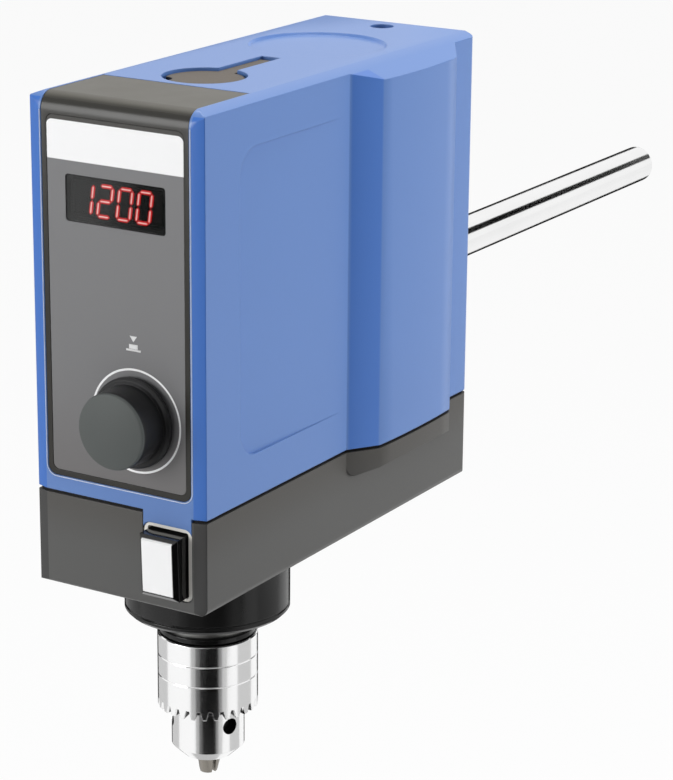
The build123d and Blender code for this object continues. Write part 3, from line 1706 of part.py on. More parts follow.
# Toothed sleeve with the nut inside it
with BuildPart() as chuck_sleeve:
    sleeve_top_z = splash_low_z - sleeve_top_gap
    line_points = []
    for below in sleeve_lines_below_base:
        line_z = base_bottom - below
        line_points += [
            (sleeve_radius, line_z - sleeve_line_depth),
            (sleeve_radius - sleeve_line_depth, line_z),
            (sleeve_radius, line_z + sleeve_line_depth),
        ]
    add(
        turned(
            [
                (sleeve_lip_radius, tooth_tip_z),
                (sleeve_radius - sleeve_edge, tooth_tip_z),
                (sleeve_radius, tooth_tip_z + sleeve_edge),
                *line_points,
                (sleeve_radius, sleeve_top_z - sleeve_edge),
                (sleeve_radius - sleeve_edge, sleeve_top_z),
                (sleeve_bore_radius, sleeve_top_z),
                (sleeve_bore_radius, nut_top_z),
                (nut_radius, nut_top_z),
                (nut_radius, nut_low_z),
                (sleeve_lip_radius, nut_low_z),
            ]
        )
    )
    tooth_pitch = 2 * pi * sleeve_radius / tooth_count
    with BuildPart() as tooth_gap:
        with BuildSketch(Plane.YZ.offset(sleeve_lip_radius - cut_margin)):
            with BuildLine():
                Polyline(
                    (-tooth_pitch * tooth_gap_share / 2, tooth_tip_z),
                    (tooth_pitch * tooth_gap_share / 2, tooth_tip_z),
                    (tooth_pitch * tooth_root_share / 2, tooth_tip_z + tooth_height),
                    (-tooth_pitch * tooth_root_share / 2, tooth_tip_z + tooth_height),
                    close=True,
                )
            make_face()
        extrude(amount=sleeve_radius - sleeve_lip_radius + 2 * cut_margin)
    with PolarLocations(0, tooth_count):
        add(tooth_gap.part, mode=Mode.SUBTRACT)
chuck_sleeve.part.label = "chuck_sleeve"

with BuildPart() as chuck_nut:
    jaw_edge_low = (nut_low_z - cross_z) * lean_tan + jaw_radius / lean_cos + nut_thread_gap
    jaw_edge_top = (nut_top_z - cross_z) * lean_tan + jaw_radius / lean_cos + nut_thread_gap
    add(
        turned(
            [
                (jaw_edge_low, nut_low_z),
                (nut_radius, nut_low_z),
                (nut_radius, nut_top_z),
                (jaw_edge_top, nut_top_z),
            ]
        )
    )
chuck_nut.part.label = "chuck_nut"


def jaw(turn):
    """One jaw: leaning cylinder with a flat end, two flanks and a hollow gripping face."""
    land = radians(jaw_land_angle)
    flank = radians(60)
    apex = grip_radius * cos(land) - grip_radius * sin(land) / tan(flank)
    reach = 4 * jaw_radius * 2
    with BuildPart() as body:
        add(jaw_cylinder(jaw_radius, -2 * jaw_radius, jaw_length))
        with BuildSketch(Plane.XY.offset(jaw_tip_z)):
            with BuildLine():
                Polyline(
                    (apex, 0),
                    (apex + reach * cos(flank), reach * sin(flank)),
                    (apex + reach, reach * sin(flank)),
                    (apex + reach, -reach * sin(flank)),
                    (apex + reach * cos(flank), -reach * sin(flank)),
                    close=True,
                )
            make_face()
        extrude(amount=2 * jaw_length, mode=Mode.INTERSECT)
        add(upright_cylinder(0, 0, grip_radius, jaw_tip_z, jaw_tip_z + jaw_length), mode=Mode.SUBTRACT)
    return body.part.rotate(Axis.Z, jaw_angle + 120 * turn)


with BuildPart() as jaw_1:
    add(jaw(0))
jaw_1.part.label = "jaw_1"

with BuildPart() as jaw_2:
    add(jaw(1))
jaw_2.part.label = "jaw_2"

with BuildPart() as jaw_3:
    add(jaw(2))
jaw_3.part.label = "jaw_3"

# Screws of the collar, the housing and the crown
with BuildPart() as collar_screws:
    head_z = collar_low_z + collar_counterbore
    with BuildSketch(Plane.XY.offset(head_z - m3_head_height)):
        with PolarLocations(collar_screw_distance, 3, start_angle=90):
            Circle(m3_head_radius)
    extrude(amount=m3_head_height)
    with BuildSketch(Plane.XY.offset(head_z)):
        with PolarLocations(collar_screw_distance, 3, start_angle=90):
            Circle(m3_radius)
    extrude(amount=floor_top_z + collar_screw_depth - head_z)
    with BuildSketch(Plane.XY.offset(head_z - m3_head_height)):
        with PolarLocations(collar_screw_distance, 3, start_angle=90):
            RegularPolygon(m3_radius * screw_hex_share, 6)
    extrude(amount=m3_head_height * screw_hex_depth_share, mode=Mode.SUBTRACT)
collar_screws.part.label = "collar_screws"

with BuildPart() as housing_screws:
    seat_z = base_bottom + corner_screw_sink
    for screw_x, screw_y in corner_spots():
        add(upright_cylinder(screw_x, screw_y, m4_head_radius, seat_z - m4_head_height, seat_z))
        add(upright_cylinder(screw_x, screw_y, m4_radius, seat_z, seat_z + corner_screw_length))
    with BuildSketch(Plane.XY.offset(seat_z - m4_head_height)):
        with Locations(*corner_spots()):
            RegularPolygon(m4_radius * screw_hex_share, 6)
    extrude(amount=m4_head_height * screw_hex_depth_share, mode=Mode.SUBTRACT)
housing_screws.part.label = "housing_screws"

with BuildPart() as crown_screw:
    add(upright_cylinder(0, crown_screw_y, m4_head_radius, crown_seat_z, crown_seat_z + m4_head_height))
    crown_screw_low_z = arm_top_z - crown_screw_depth + crown_screw_end_room
    add(upright_cylinder(0, crown_screw_y, m4_radius, crown_screw_low_z, crown_seat_z))
    with BuildSketch(Plane.XY.offset(crown_seat_z + m4_head_height)):
        with Locations((0, crown_screw_y)):
            RegularPolygon(m4_radius * screw_hex_share, 6)
    extrude(amount=-m4_head_height * screw_hex_depth_share, mode=Mode.SUBTRACT)
crown_screw.part.label = "crown_screw"

os.makedirs("parts", exist_ok=True)
export_step(housing_cover.part, "parts/housing_cover.step")
export_step(base_housing.part, "parts/base_housing.step")
export_step(seam_gasket.part, "parts/seam_gasket.step")
export_step(front_panel.part, "parts/front_panel.step")
export_step(panel_inlay.part, "parts/panel_inlay.step")
export_step(display_window.part, "parts/display_window.step")
export_step(display_module.part, "parts/display_module.step")
export_step(control_board.part, "parts/control_board.step")
export_step(encoder_body.part, "parts/encoder_body.step")
export_step(encoder_rotor.part, "parts/encoder_rotor.step")
export_step(encoder_shaft.part, "parts/encoder_shaft.step")
export_step(speed_knob.part, "parts/speed_knob.step")
export_step(board_screws.part, "parts/board_screws.step")
export_step(power_board.part, "parts/power_board.step")
export_step(mains_inlet.part, "parts/mains_inlet.step")
export_step(inlet_pins.part, "parts/inlet_pins.step")
export_step(switch_frame.part, "parts/switch_frame.step")
export_step(switch_rocker.part, "parts/switch_rocker.step")
export_step(bearing_collar.part, "parts/bearing_collar.step")
export_step(shaft_seal.part, "parts/shaft_seal.step")
export_step(spindle_bearings.part, "parts/spindle_bearings.step")
export_step(chassis.part, "parts/chassis.step")
export_step(motor_can.part, "parts/motor_can.step")
export_step(motor_end_bell.part, "parts/motor_end_bell.step")
export_step(motor_stator.part, "parts/motor_stator.step")
export_step(motor_bearings.part, "parts/motor_bearings.step")
export_step(motor_screws.part, "parts/motor_screws.step")
export_step(motor_shaft.part, "parts/motor_shaft.step")
export_step(motor_rotor.part, "parts/motor_rotor.step")
export_step(motor_pulley.part, "parts/motor_pulley.step")
export_step(spindle_pulley.part, "parts/spindle_pulley.step")
export_step(drive_belt.part, "parts/drive_belt.step")
export_step(shaft_guide.part, "parts/shaft_guide.step")
export_step(support_rod.part, "parts/support_rod.step")
export_step(lid_pin.part, "parts/lid_pin.step")
export_step(shaft_lid.part, "parts/shaft_lid.step")
export_step(spindle.part, "parts/spindle.step")
export_step(spindle_flange.part, "parts/spindle_flange.step")
export_step(splash_ring.part, "parts/splash_ring.step")
export_step(chuck_body.part, "parts/chuck_body.step")
export_step(chuck_sleeve.part, "parts/chuck_sleeve.step")
export_step(chuck_nut.part, "parts/chuck_nut.step")
export_step(jaw_1.part, "parts/jaw_1.step")
export_step(jaw_2.part, "parts/jaw_2.step")
export_step(jaw_3.part, "parts/jaw_3.step")
export_step(collar_screws.part, "parts/collar_screws.step")
export_step(housing_screws.part, "parts/housing_screws.step")
export_step(crown_screw.part, "parts/crown_screw.step")
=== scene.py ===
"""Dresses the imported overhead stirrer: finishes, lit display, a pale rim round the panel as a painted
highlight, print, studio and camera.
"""

import json
from math import cos, radians, sin, tan

import bmesh
import bpy
from mathutils import Matrix, Vector


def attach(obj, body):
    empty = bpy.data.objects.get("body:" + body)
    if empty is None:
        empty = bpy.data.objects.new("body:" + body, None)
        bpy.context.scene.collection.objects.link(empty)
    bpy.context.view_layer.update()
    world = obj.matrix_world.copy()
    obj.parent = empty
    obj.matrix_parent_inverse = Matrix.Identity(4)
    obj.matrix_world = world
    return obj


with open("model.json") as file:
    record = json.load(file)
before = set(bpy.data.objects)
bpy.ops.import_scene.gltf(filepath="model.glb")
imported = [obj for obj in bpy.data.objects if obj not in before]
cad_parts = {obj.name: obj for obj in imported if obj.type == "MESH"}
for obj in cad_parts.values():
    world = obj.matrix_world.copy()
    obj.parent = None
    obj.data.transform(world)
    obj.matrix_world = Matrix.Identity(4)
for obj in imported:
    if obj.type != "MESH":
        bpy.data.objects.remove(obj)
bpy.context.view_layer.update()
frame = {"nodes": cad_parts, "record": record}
nodes = frame["nodes"]

MM = 0.001

# Places and sizes that the finishes and the added pieces share, in millimetres: x right, y back, z up
FRONT_Y = -54.0
BASE_Z, SEAM_Z, TOP_Z = 77.4, 112.0, 253.4
SIDE_X = 35.5
BEVEL_X, BEVEL_Y = 31.0, -52.5
RAMP_START_Y, RAMP_END_Y, BULGE_X = 38.5, 50.2, 43.0
PANEL_HALF, PANEL_LOW_Z = 30.0, 118.4
LABEL_Y, LABEL_HALF = -53.8, 28.0
BAND_LOW_Z, BAND_TOP_Z, BAND_CORNER = 231.0, 244.6, 2.4
KNOB_X, KNOB_Z, KNOB_FACE_Y = 7.5, 143.7, -67.9
RING_RADIUS, RING_HALF = 18.2, 0.32
SIGN_X, SIGN_Z = 6.8, BASE_Z + 93.25
WINDOW_Z, DISPLAY_FACE_Y = 218.3, -52.3
RECESS_HALF, RECESS_RISE, RECESS_BACK_Y = 25.0, 12.0, -42.0
ROCKER_X, ROCKER_Z, ROCKER_FACE_Y = 20.1, 95.1, -59.9
REFLECTION_HALF, REFLECTION_RISE = 6.1, 9.6
CHUCK_RADIUS, CHUCK_CORE = 13.5, 9.0
KEY_HOLE_Z, KEY_HOLE_RADIUS = 13.4, 3.2
SLEEVE_BORE, TOOTH_TIP_Z = 16.9, 18.8
ROD_Z = 156.6


# Finishes


class Wire:
    """A value inside a finish. Python's operators on it become shader nodes."""

    def __init__(self, finish, socket):
        self.finish = finish
        self.socket = socket

    def _math(self, operation, *values):
        return self.finish.node("ShaderNodeMath", {"operation": operation}, *values)

    def __add__(self, other):
        return self._math("ADD", self, other)

    def __radd__(self, other):
        return self._math("ADD", other, self)

    def __sub__(self, other):
        return self._math("SUBTRACT", self, other)

    def __rsub__(self, other):
        return self._math("SUBTRACT", other, self)

    def __mul__(self, other):
        return self._math("MULTIPLY", self, other)

    def __rmul__(self, other):
        return self._math("MULTIPLY", other, self)

    def __abs__(self):
        return self._math("ABSOLUTE", self)

    def __pow__(self, power):
        return self._math("POWER", self, power)

    def __mod__(self, length):
        return self._math("FLOORED_MODULO", self, length)

    def high(self, other):
        """The larger of two values."""
        return self._math("MAXIMUM", self, other)

    def rise(self, start, end):
        """0 below start, 1 above end, smooth between."""
        settings = {"interpolation_type": "SMOOTHSTEP"}
        return self.finish.node("ShaderNodeMapRange", settings, self, start, end, 0.0, 1.0)

    def fall(self, start, end):
        """1 below start, 0 above end, smooth between."""
        return 1 - self.rise(start, end)

    def within(self, half, blur):
        """1 nearer to zero than half, on either side, and 0 from half plus blur on."""
        return abs(self).fall(half, half + blur)


class Finish:
    """A procedural material. Constants go to the shader's sockets, patterns come in through feed."""

    def __init__(self, name, colour, rough, metal=0.0, **constants):
        self.name = name
        self.material = bpy.data.materials.new(name)
        self.material.use_nodes = True
        self.tree = self.material.node_tree
        self.shader = self.tree.nodes["Principled BSDF"]
        self.colour = linear(colour)
        self.place = None
        self.set("Base Color", (*self.colour, 1.0))
        self.set("Roughness", rough)
        self.set("Metallic", metal)
        for socket, value in constants.items():
            self.set(socket.replace("_", " "), value)

    def set(self, socket, value):
        self.shader.inputs[socket].default_value = value

    def node(self, kind, settings=None, *values, output=0, **named):
        """Any node from its type, its settings and what goes into its sockets."""
        made = self.tree.nodes.new(kind)
        for key, value in (settings or {}).items():
            setattr(made, key, value)
        for index, value in enumerate(values):
            self.join(value, made.inputs[index])
        for key, value in named.items():
            self.join(value, made.inputs[key.replace("_", " ")])
        return Wire(self, made.outputs[output])

    def join(self, value, socket):
        if isinstance(value, Wire):
            self.tree.links.new(value.socket, socket)
        else:
            socket.default_value = value

    def feed(self, socket, value):
        self.join(value, self.shader.inputs[socket])

    def spot(self):
        """Position on the object, in metres."""
        if self.place is None:
            self.place = self.node("ShaderNodeTexCoord", output="Object")
        return self.place

    def axes(self):
        """X, Y and Z of the position as separate values, in millimetres."""
        split = self.tree.nodes.new("ShaderNodeSeparateXYZ")
        self.join(self.spot(), split.inputs[0])
        return [Wire(self, split.outputs[i]) * (1 / MM) for i in range(3)]

    def noise(self, scale, detail=3.0, rough=0.55, stretch=None):
        spot = self.spot()
        if stretch:
            spot = self.node("ShaderNodeVectorMath", {"operation": "MULTIPLY"}, spot, stretch)
        return self.node("ShaderNodeTexNoise", Vector=spot, Scale=scale, Detail=detail, Roughness=rough)

    def blend(self, mask, first, second):
        """Colour mix, with the mask choosing the second."""
        mix = self.tree.nodes.new("ShaderNodeMix")
        mix.data_type = "RGBA"
        self.join(mask, mix.inputs[0])
        for value, socket in ((first, mix.inputs[6]), (second, mix.inputs[7])):
            self.join(value if isinstance(value, Wire) else (*value, 1.0), socket)
        return Wire(self, mix.outputs[2])

    def shade(self, mask, darker=0.8, lighter=1.1, base=None):
        """Base colour that wanders a little between two strengths."""
        base = base or self.colour
        return self.blend(mask, [c * darker for c in base], [min(c * lighter, 1.0) for c in base])

    def bump(self, height, distance, strength=1.0, round_edge=0.0):
        """Relief of height times distance, over edges rounded by round_edge, both in metres."""
        made = self.tree.nodes.new("ShaderNodeBump")
        made.inputs["Strength"].default_value = strength
        made.inputs["Distance"].default_value = distance
        self.join(height, made.inputs["Height"])
        if round_edge:
            edge = self.node("ShaderNodeBevel", {"samples": 4}, round_edge)
            self.join(edge, made.inputs["Normal"])
        self.tree.links.new(made.outputs["Normal"], self.shader.inputs["Normal"])
        return self


def linear(colour):
    """Screen colour to linear light."""
    return [c / 12.92 if c <= 0.04045 else ((c + 0.055) / 1.055) ** 2.4 for c in colour]


def moulded(name, colour, rough=0.42, grain=1400.0, depth=0.00002, round_edge=0.0005, **more):
    """Moulded plastic: fine spark grain, slight flow shading, soft edges."""
    finish = Finish(name, colour, rough, **more)
    flow = finish.noise(9.0, detail=2.0)
    fine = finish.noise(grain, detail=2.0)
    finish.feed("Base Color", finish.shade(flow * 0.7 + fine * 0.3, 0.95, 1.05))
    finish.feed("Roughness", rough - 0.05 + fine * 0.10 + flow * 0.04)
    return finish.bump(fine, depth, 0.5, round_edge)


def polished(name, colour, rough):
    """Polished plastic: clear gloss with faint rub marks."""
    finish = Finish(name, colour, rough, Specular_IOR_Level=0.3)
    rub = finish.noise(60.0, detail=4.0, rough=0.6, stretch=(1.0, 1.0, 0.15))
    fine = finish.noise(700.0, detail=2.0)
    finish.feed("Base Color", finish.shade(rub * 0.6 + fine * 0.4, 0.9, 1.15))
    finish.feed("Roughness", rough + rub * 0.06 + fine * 0.03)
    return finish.bump(rub, 0.000004, strength=0.3, round_edge=0.0004)


def turned_metal(name, colour, rough, lines=2600.0, depth=0.0000015, metal=1.0):
    """Turned metal: fine rings across the axis, cloudy polish."""
    finish = Finish(name, colour, rough, metal)
    rings = finish.noise(lines, detail=2.0, rough=0.6, stretch=(0.02, 0.02, 1.0))
    cloud = finish.noise(45.0)
    finish.feed("Base Color", finish.shade(cloud * 0.6 + rings * 0.4, 0.92, 1.06))
    finish.feed("Roughness", rough * 0.7 + cloud * rough * 0.35 + rings * rough * 0.35)
    return finish.bump(rings, depth, strength=0.6, round_edge=0.00025)


def anodised(name, colour, rough=0.3):
    """Satin metal with a thin coloured layer."""
    return turned_metal(name, colour, rough, lines=1800.0, depth=0.000001, metal=0.85)


def rubber(name, colour=(0.10, 0.10, 0.10)):
    """Dull rubber with a faint bloom."""
    finish = Finish(name, colour, 0.75, Specular_IOR_Level=0.3)
    bloom = finish.noise(320.0)
    finish.feed("Base Color", finish.shade(bloom, 0.8, 1.5))
    finish.feed("Roughness", 0.68 + bloom * 0.16)
    return finish.bump(bloom, 0.00003, strength=0.5)


def cast_metal(name, colour):
    """Cast light alloy: fine sand texture, dull."""
    finish = Finish(name, colour, 0.5, 0.9)
    sand = finish.noise(900.0, detail=4.0, rough=0.7)
    cloud = finish.noise(30.0)
    finish.feed("Base Color", finish.shade(cloud, 0.85, 1.08))
    finish.feed("Roughness", 0.42 + sand * 0.2)
    return finish.bump(sand, 0.00008, strength=0.7)


def laminated(name, colour):
    """Stacked sheet iron with fine horizontal joints."""
    sheet = 0.5
    finish = Finish(name, colour, 0.45, 0.7)
    height = finish.axes()[2]
    joint = (height % sheet).rise(0.36, 0.44)
    finish.feed("Base Color", finish.shade(joint, 1.0, 0.35))
    finish.feed("Roughness", 0.4 + joint * 0.3)
    return finish.bump(1 - joint, 0.00005)


def circuit_board(name):
    """Solder mask with darker tracks and pale pads."""
    pitch, pad_radius = 5.08, 0.75
    finish = Finish(name, (0.06, 0.36, 0.20), 0.3, Coat_Weight=0.4)
    across, deep, height = finish.axes()
    run = finish.noise(22.0, detail=0.0)
    track = abs(((height + deep) * 0.45 + run * 3.0) % 1.0 - 0.5).rise(0.16, 0.2)
    pad_x, pad_z = abs(across % pitch - pitch / 2), abs(height % pitch - pitch / 2)
    pad = ((pad_x ** 2 + pad_z ** 2) ** 0.5).fall(pad_radius, pad_radius + 0.1)
    green = finish.blend(track, linear((0.05, 0.30, 0.16)), linear((0.08, 0.42, 0.24)))
    finish.feed("Base Color", finish.blend(pad, green, linear((0.75, 0.74, 0.68))))
    finish.feed("Metallic", pad * 0.8)
    return finish.bump(track * 0.5 + pad, 0.00003)


def front_bevel(across, deep):
    """1 on the narrow bevels down both edges of the front."""
    blur = 0.1
    return abs(across).rise(BEVEL_X - blur, BEVEL_X + blur) * deep.fall(BEVEL_Y - blur, BEVEL_Y + blur)


def side_ramp(across, deep):
    """1 on the slopes between the flat sides and the bulges at the back."""
    blur = 0.5
    reach = abs(across)
    ramp = reach.rise(SIDE_X + 0.05, SIDE_X + 0.8) * reach.fall(BULGE_X - 0.6, BULGE_X - 0.05)
    ramp = ramp * deep.rise(RAMP_START_Y - blur, RAMP_START_Y + blur)
    return ramp * deep.fall(RAMP_END_Y - blur, RAMP_END_Y + blur)


def housing_blue(name):
    """Blue cover: satin moulding, painted shade in a darker, more saturated blue on bevels and ramps,
    painted shade near black in the recess behind the pane.
    """
    finish = Finish(name, (0.355, 0.50, 0.745), 0.30)
    flow = finish.noise(6.0, detail=2.0)
    fine = finish.noise(1500.0, detail=2.0)
    across, deep, height = finish.axes()
    low = height.fall(SEAM_Z, SEAM_Z + 60.0) * 0.14
    tint = finish.shade(flow * 0.6 + fine * 0.4, 0.96, 1.04)
    blue = finish.blend(low, tint, [c * 0.8 for c in finish.colour])
    # painted shade: near black on the walls of the recess behind the pane
    recess = across.within(RECESS_HALF, 0.4) * (height - WINDOW_Z).within(RECESS_RISE, 0.4)
    recess = recess * deep.rise(FRONT_Y + 0.6, FRONT_Y + 0.9) * deep.fall(RECESS_BACK_Y, RECESS_BACK_Y + 2.0)
    # painted shade: darker, more saturated blue on the front bevels and side ramps
    bevel_ramp_shade = (front_bevel(across, deep) * 0.9).high(side_ramp(across, deep) * 0.7)
    blue = finish.blend(bevel_ramp_shade, blue, linear((0.17, 0.41, 0.75)))
    finish.feed("Base Color", finish.blend(recess, blue, (0.004, 0.004, 0.004)))
    finish.feed("Roughness", 0.25 + fine * 0.08 + flow * 0.05)
    return finish.bump(fine, 0.000012, strength=0.5, round_edge=0.0006)


def housing_grey(name):
    """Grey base: fine moulded grain, warmer and darker towards the seam, painted shade on its front bevels.
    """
    finish = Finish(name, (0.30, 0.30, 0.295), 0.42, Specular_IOR_Level=0.42)
    flow = finish.noise(12.0, detail=2.0)
    fine = finish.noise(1300.0, detail=2.0)
    across, deep, height = finish.axes()
    top = height.rise(BASE_Z + 14.0, SEAM_Z) * 0.55
    tint = finish.shade(flow * 0.5 + fine * 0.5, 0.95, 1.05)
    warm = [c * f for c, f in zip(finish.colour, (0.60, 0.52, 0.44))]
    grey = finish.blend(top, tint, warm)
    # painted shade: dark grey on the front bevels
    bevel = front_bevel(across, deep) * 0.8
    finish.feed("Base Color", finish.blend(bevel, grey, linear((0.15, 0.15, 0.15))))
    finish.feed("Roughness", 0.36 + fine * 0.14)
    return finish.bump(fine, 0.00002, strength=0.6, round_edge=0.0006)


def panel_label(name):
    """Grey printed label: ring round the knob, pale band with rounded top corners, film grain."""
    finish = Finish(name, (0.46, 0.46, 0.465), 0.42, Specular_IOR_Level=0.35)
    across, _, height = finish.axes()
    film = finish.noise(1800.0, detail=2.0)
    cloud = finish.noise(10.0, detail=2.0)
    reach = ((across - KNOB_X) ** 2 + (height - KNOB_Z) ** 2) ** 0.5
    ring = (reach - RING_RADIUS).within(RING_HALF, 0.1)
    low = height.fall(PANEL_LOW_Z, PANEL_LOW_Z + 45.0) * 0.5
    tint = finish.shade(cloud * 0.7 + film * 0.3, 0.95, 1.05)
    warm = [c * f for c, f in zip(finish.colour, (0.66, 0.60, 0.56))]
    side = (abs(across) - (LABEL_HALF - BAND_CORNER)).high(0.0)
    over = (height - (BAND_TOP_Z - BAND_CORNER)).high(0.0)
    past_band = ((side ** 2 + over ** 2) ** 0.5 - BAND_CORNER).rise(-0.1, 0.1)
    printed = finish.blend(past_band, (0.97, 0.97, 0.97), linear((0.20, 0.195, 0.18)))
    ground = finish.blend(low, tint, warm)
    band = height.rise(BAND_LOW_Z, BAND_LOW_Z + 0.2)
    finish.feed("Base Color", finish.blend(ring.high(band), ground, printed))
    finish.feed("Roughness", 0.38 + film * 0.12)
    return finish.bump(film, 0.00001, strength=0.4)


def panel_frame(name):
    """Dark satin frame of the panel, with painted light in a lighter brown-grey where it turns over the top.
    """
    finish = Finish(name, (0.17, 0.165, 0.15), 0.25, Specular_IOR_Level=0.28)
    height = finish.axes()[2]
    rub = finish.noise(70.0)
    fine = finish.noise(1500.0, detail=2.0)
    # painted light: the top, lit from above, in a lighter brown-grey
    top = height.rise(TOP_Z - 2.5, TOP_Z - 0.4)
    front = finish.shade(rub * 0.6 + fine * 0.4, 0.92, 1.08)
    finish.feed("Base Color", finish.blend(top, front, linear((0.31, 0.30, 0.27))))
    finish.feed("Roughness", 0.20 + rub * 0.10 + top * 0.15)
    return finish.bump(rub, 0.000006, strength=0.4, round_edge=0.0003)


def knob_plastic(name):
    """Face in matt grey, skirt and side near black."""
    finish = Finish(name, (0.31, 0.325, 0.32), 0.5, Specular_IOR_Level=0.3)
    fine = finish.noise(1600.0, detail=2.0)
    cloud = finish.noise(40.0, detail=2.0)
    side = finish.axes()[1].rise(KNOB_FACE_Y - 0.25, KNOB_FACE_Y + 0.35)
    face = finish.shade(fine * 0.5 + cloud * 0.5, 0.93, 1.07)
    finish.feed("Base Color", finish.blend(side, face, linear((0.075, 0.075, 0.08))))
    finish.feed("Roughness", 0.5 + fine * 0.12 - side * 0.14)
    return finish.bump(fine, 0.00002, strength=0.5, round_edge=0.0004)


def rocker_gloss(name):
    """Gloss black rocker with a painted reflection on its flat front: a bright pale patch."""
    finish = Finish(name, (0.05, 0.05, 0.05), 0.08, Specular_IOR_Level=0.5)
    across, deep, height = finish.axes()
    # painted reflection: a bright pale patch standing for a softbox on the flat front
    reflection_patch = (across - ROCKER_X).within(REFLECTION_HALF, 0.3) * (height - ROCKER_Z).within(REFLECTION_RISE, 0.3)
    reflection_patch = reflection_patch * deep.fall(ROCKER_FACE_Y, ROCKER_FACE_Y + 0.5)
    rub = finish.noise(60.0, detail=4.0, rough=0.6, stretch=(1.0, 1.0, 0.15))
    finish.feed("Base Color", finish.blend(reflection_patch, finish.shade(rub, 0.8, 1.3), (0.97, 0.97, 0.97)))
    finish.feed("Roughness", 0.07 + rub * 0.05 + reflection_patch * 0.12)
    return finish.bump(rub, 0.000003, strength=0.3, round_edge=0.0003)


def bright_chuck(name):
    """Bright turned chuck, with painted shade inside its key holes and behind the sleeve's teeth."""
    finish = Finish(name, (0.98, 0.98, 0.98), 0.18, 1.0)
    across, deep, height = finish.axes()
    rings = finish.noise(3000.0, detail=2.0, rough=0.6, stretch=(0.02, 0.02, 1.0))
    cloud = finish.noise(45.0)
    reach = (across ** 2 + deep ** 2) ** 0.5
    # painted shade: near black inside the key holes and behind the sleeve's teeth
    holes = reach.fall(CHUCK_RADIUS - 0.5, CHUCK_RADIUS - 0.2)
    holes = holes * (height - KEY_HOLE_Z).within(KEY_HOLE_RADIUS, 0.2)
    shade_behind_teeth = reach.fall(SLEEVE_BORE + 0.2, SLEEVE_BORE + 0.6)
    shade_behind_teeth = shade_behind_teeth * height.rise(TOOTH_TIP_Z - 0.2, TOOTH_TIP_Z + 0.4)
    dark = (holes * reach.rise(CHUCK_CORE, CHUCK_CORE + 0.4)).high(shade_behind_teeth)
    tint = finish.shade(cloud * 0.6 + rings * 0.4, 0.95, 1.02)
    finish.feed("Base Color", finish.blend(dark, tint, (0.03, 0.03, 0.03)))
    finish.feed("Roughness", 0.10 + cloud * 0.05 + rings * 0.05 + dark * 0.2)
    return finish.bump(rings, 0.0000008, strength=0.6, round_edge=0.00025)


def lid_brown(name):
    """Brown-grey lid: dull moulding, painted shade in the gap round its edge."""
    finish = Finish(name, (0.33, 0.30, 0.265), 0.55, Specular_IOR_Level=0.3)
    fine = finish.noise(1100.0)
    cloud = finish.noise(60.0)
    height = finish.axes()[2]
    # painted shade: dark band in the gap round the lid
    edge = height.rise(TOP_Z - 2.75, TOP_Z - 2.55) * height.fall(TOP_Z - 1.9, TOP_Z - 1.05)
    tint = finish.shade(fine * 0.4 + cloud * 0.6, 0.85, 1.15)
    finish.feed("Base Color", finish.blend(edge, tint, linear((0.10, 0.095, 0.09))))
    finish.feed("Roughness", 0.5 + fine * 0.15)
    return finish.bump(fine, 0.00003, strength=0.5, round_edge=0.0004)


def smoked_window(name):
    """Smoked clear pane with faint smears."""
    finish = Finish(name, (0.05, 0.065, 0.06), 0.05, Specular_IOR_Level=1.0)
    smear = finish.noise(90.0, detail=4.0, rough=0.6, stretch=(1.0, 1.0, 0.3))
    finish.feed("Base Color", finish.shade(smear, 0.8, 1.2))
    finish.feed("Roughness", 0.03 + smear * 0.08)
    finish.feed("Alpha", 0.46 + smear * 0.08)
    return finish


def glowing(name, colour, strength):
    """Lit bar of the display, a little uneven."""
    finish = Finish(name, [c * 0.4 for c in colour], 0.4, Emission_Strength=strength)
    spread = finish.noise(800.0, detail=1.0)
    finish.feed("Emission Color", finish.shade(spread, 0.85, 1.0, linear(colour)))
    return finish


finishes = {made.name: made for made in (
    housing_blue("cover_blue"),
    housing_grey("base_grey"),
    rubber("gasket_black", (0.05, 0.045, 0.045)),
    panel_frame("panel_black"),
    panel_label("label_grey"),
    smoked_window("window_smoke"),
    moulded(
        "display_dark", (0.05, 0.055, 0.053), 0.6,
        grain=500.0, depth=0.000001, round_edge=0.0, Specular_IOR_Level=0.1,
    ),
    circuit_board("board_green"),
    turned_metal("screw_steel", (0.66, 0.66, 0.67), 0.25, lines=1500.0),
    anodised("encoder_zinc", (0.70, 0.70, 0.70)),
    knob_plastic("knob_grey"),
    moulded("socket_black", (0.09, 0.09, 0.09), 0.4),
    turned_metal("pin_brass", (0.85, 0.76, 0.52), 0.2),
    moulded("frame_white", (0.92, 0.91, 0.88), 0.35),
    rocker_gloss("rocker_black"),
    polished("collar_black", (0.09, 0.09, 0.09), 0.14),
    rubber("seal_rubber"),
    turned_metal("bearing_steel", (0.72, 0.72, 0.73), 0.15),
    cast_metal("cast_alloy", (0.62, 0.63, 0.64)),
    moulded("motor_steel", (0.16, 0.16, 0.17), 0.4, grain=900.0),
    laminated("stator_iron", (0.36, 0.34, 0.33)),
    laminated("rotor_iron", (0.46, 0.46, 0.47)),
    turned_metal("shaft_steel", (0.74, 0.74, 0.75), 0.16),
    turned_metal("pulley_alloy", (0.76, 0.77, 0.78), 0.28, lines=1200.0),
    rubber("belt_rubber"),
    moulded("guide_plastic", (0.86, 0.85, 0.80), 0.4),
    turned_metal("rod_steel", (0.95, 0.95, 0.95), 0.12, lines=900.0),
    lid_brown("lid_grey"),
    anodised("flange_grey", (0.52, 0.52, 0.51), 0.32),
    polished("ring_black", (0.07, 0.07, 0.07), 0.08),
    bright_chuck("chuck_chrome"),
    turned_metal("jaw_steel", (0.58, 0.56, 0.53), 0.3, lines=1500.0, depth=0.000002),
)}


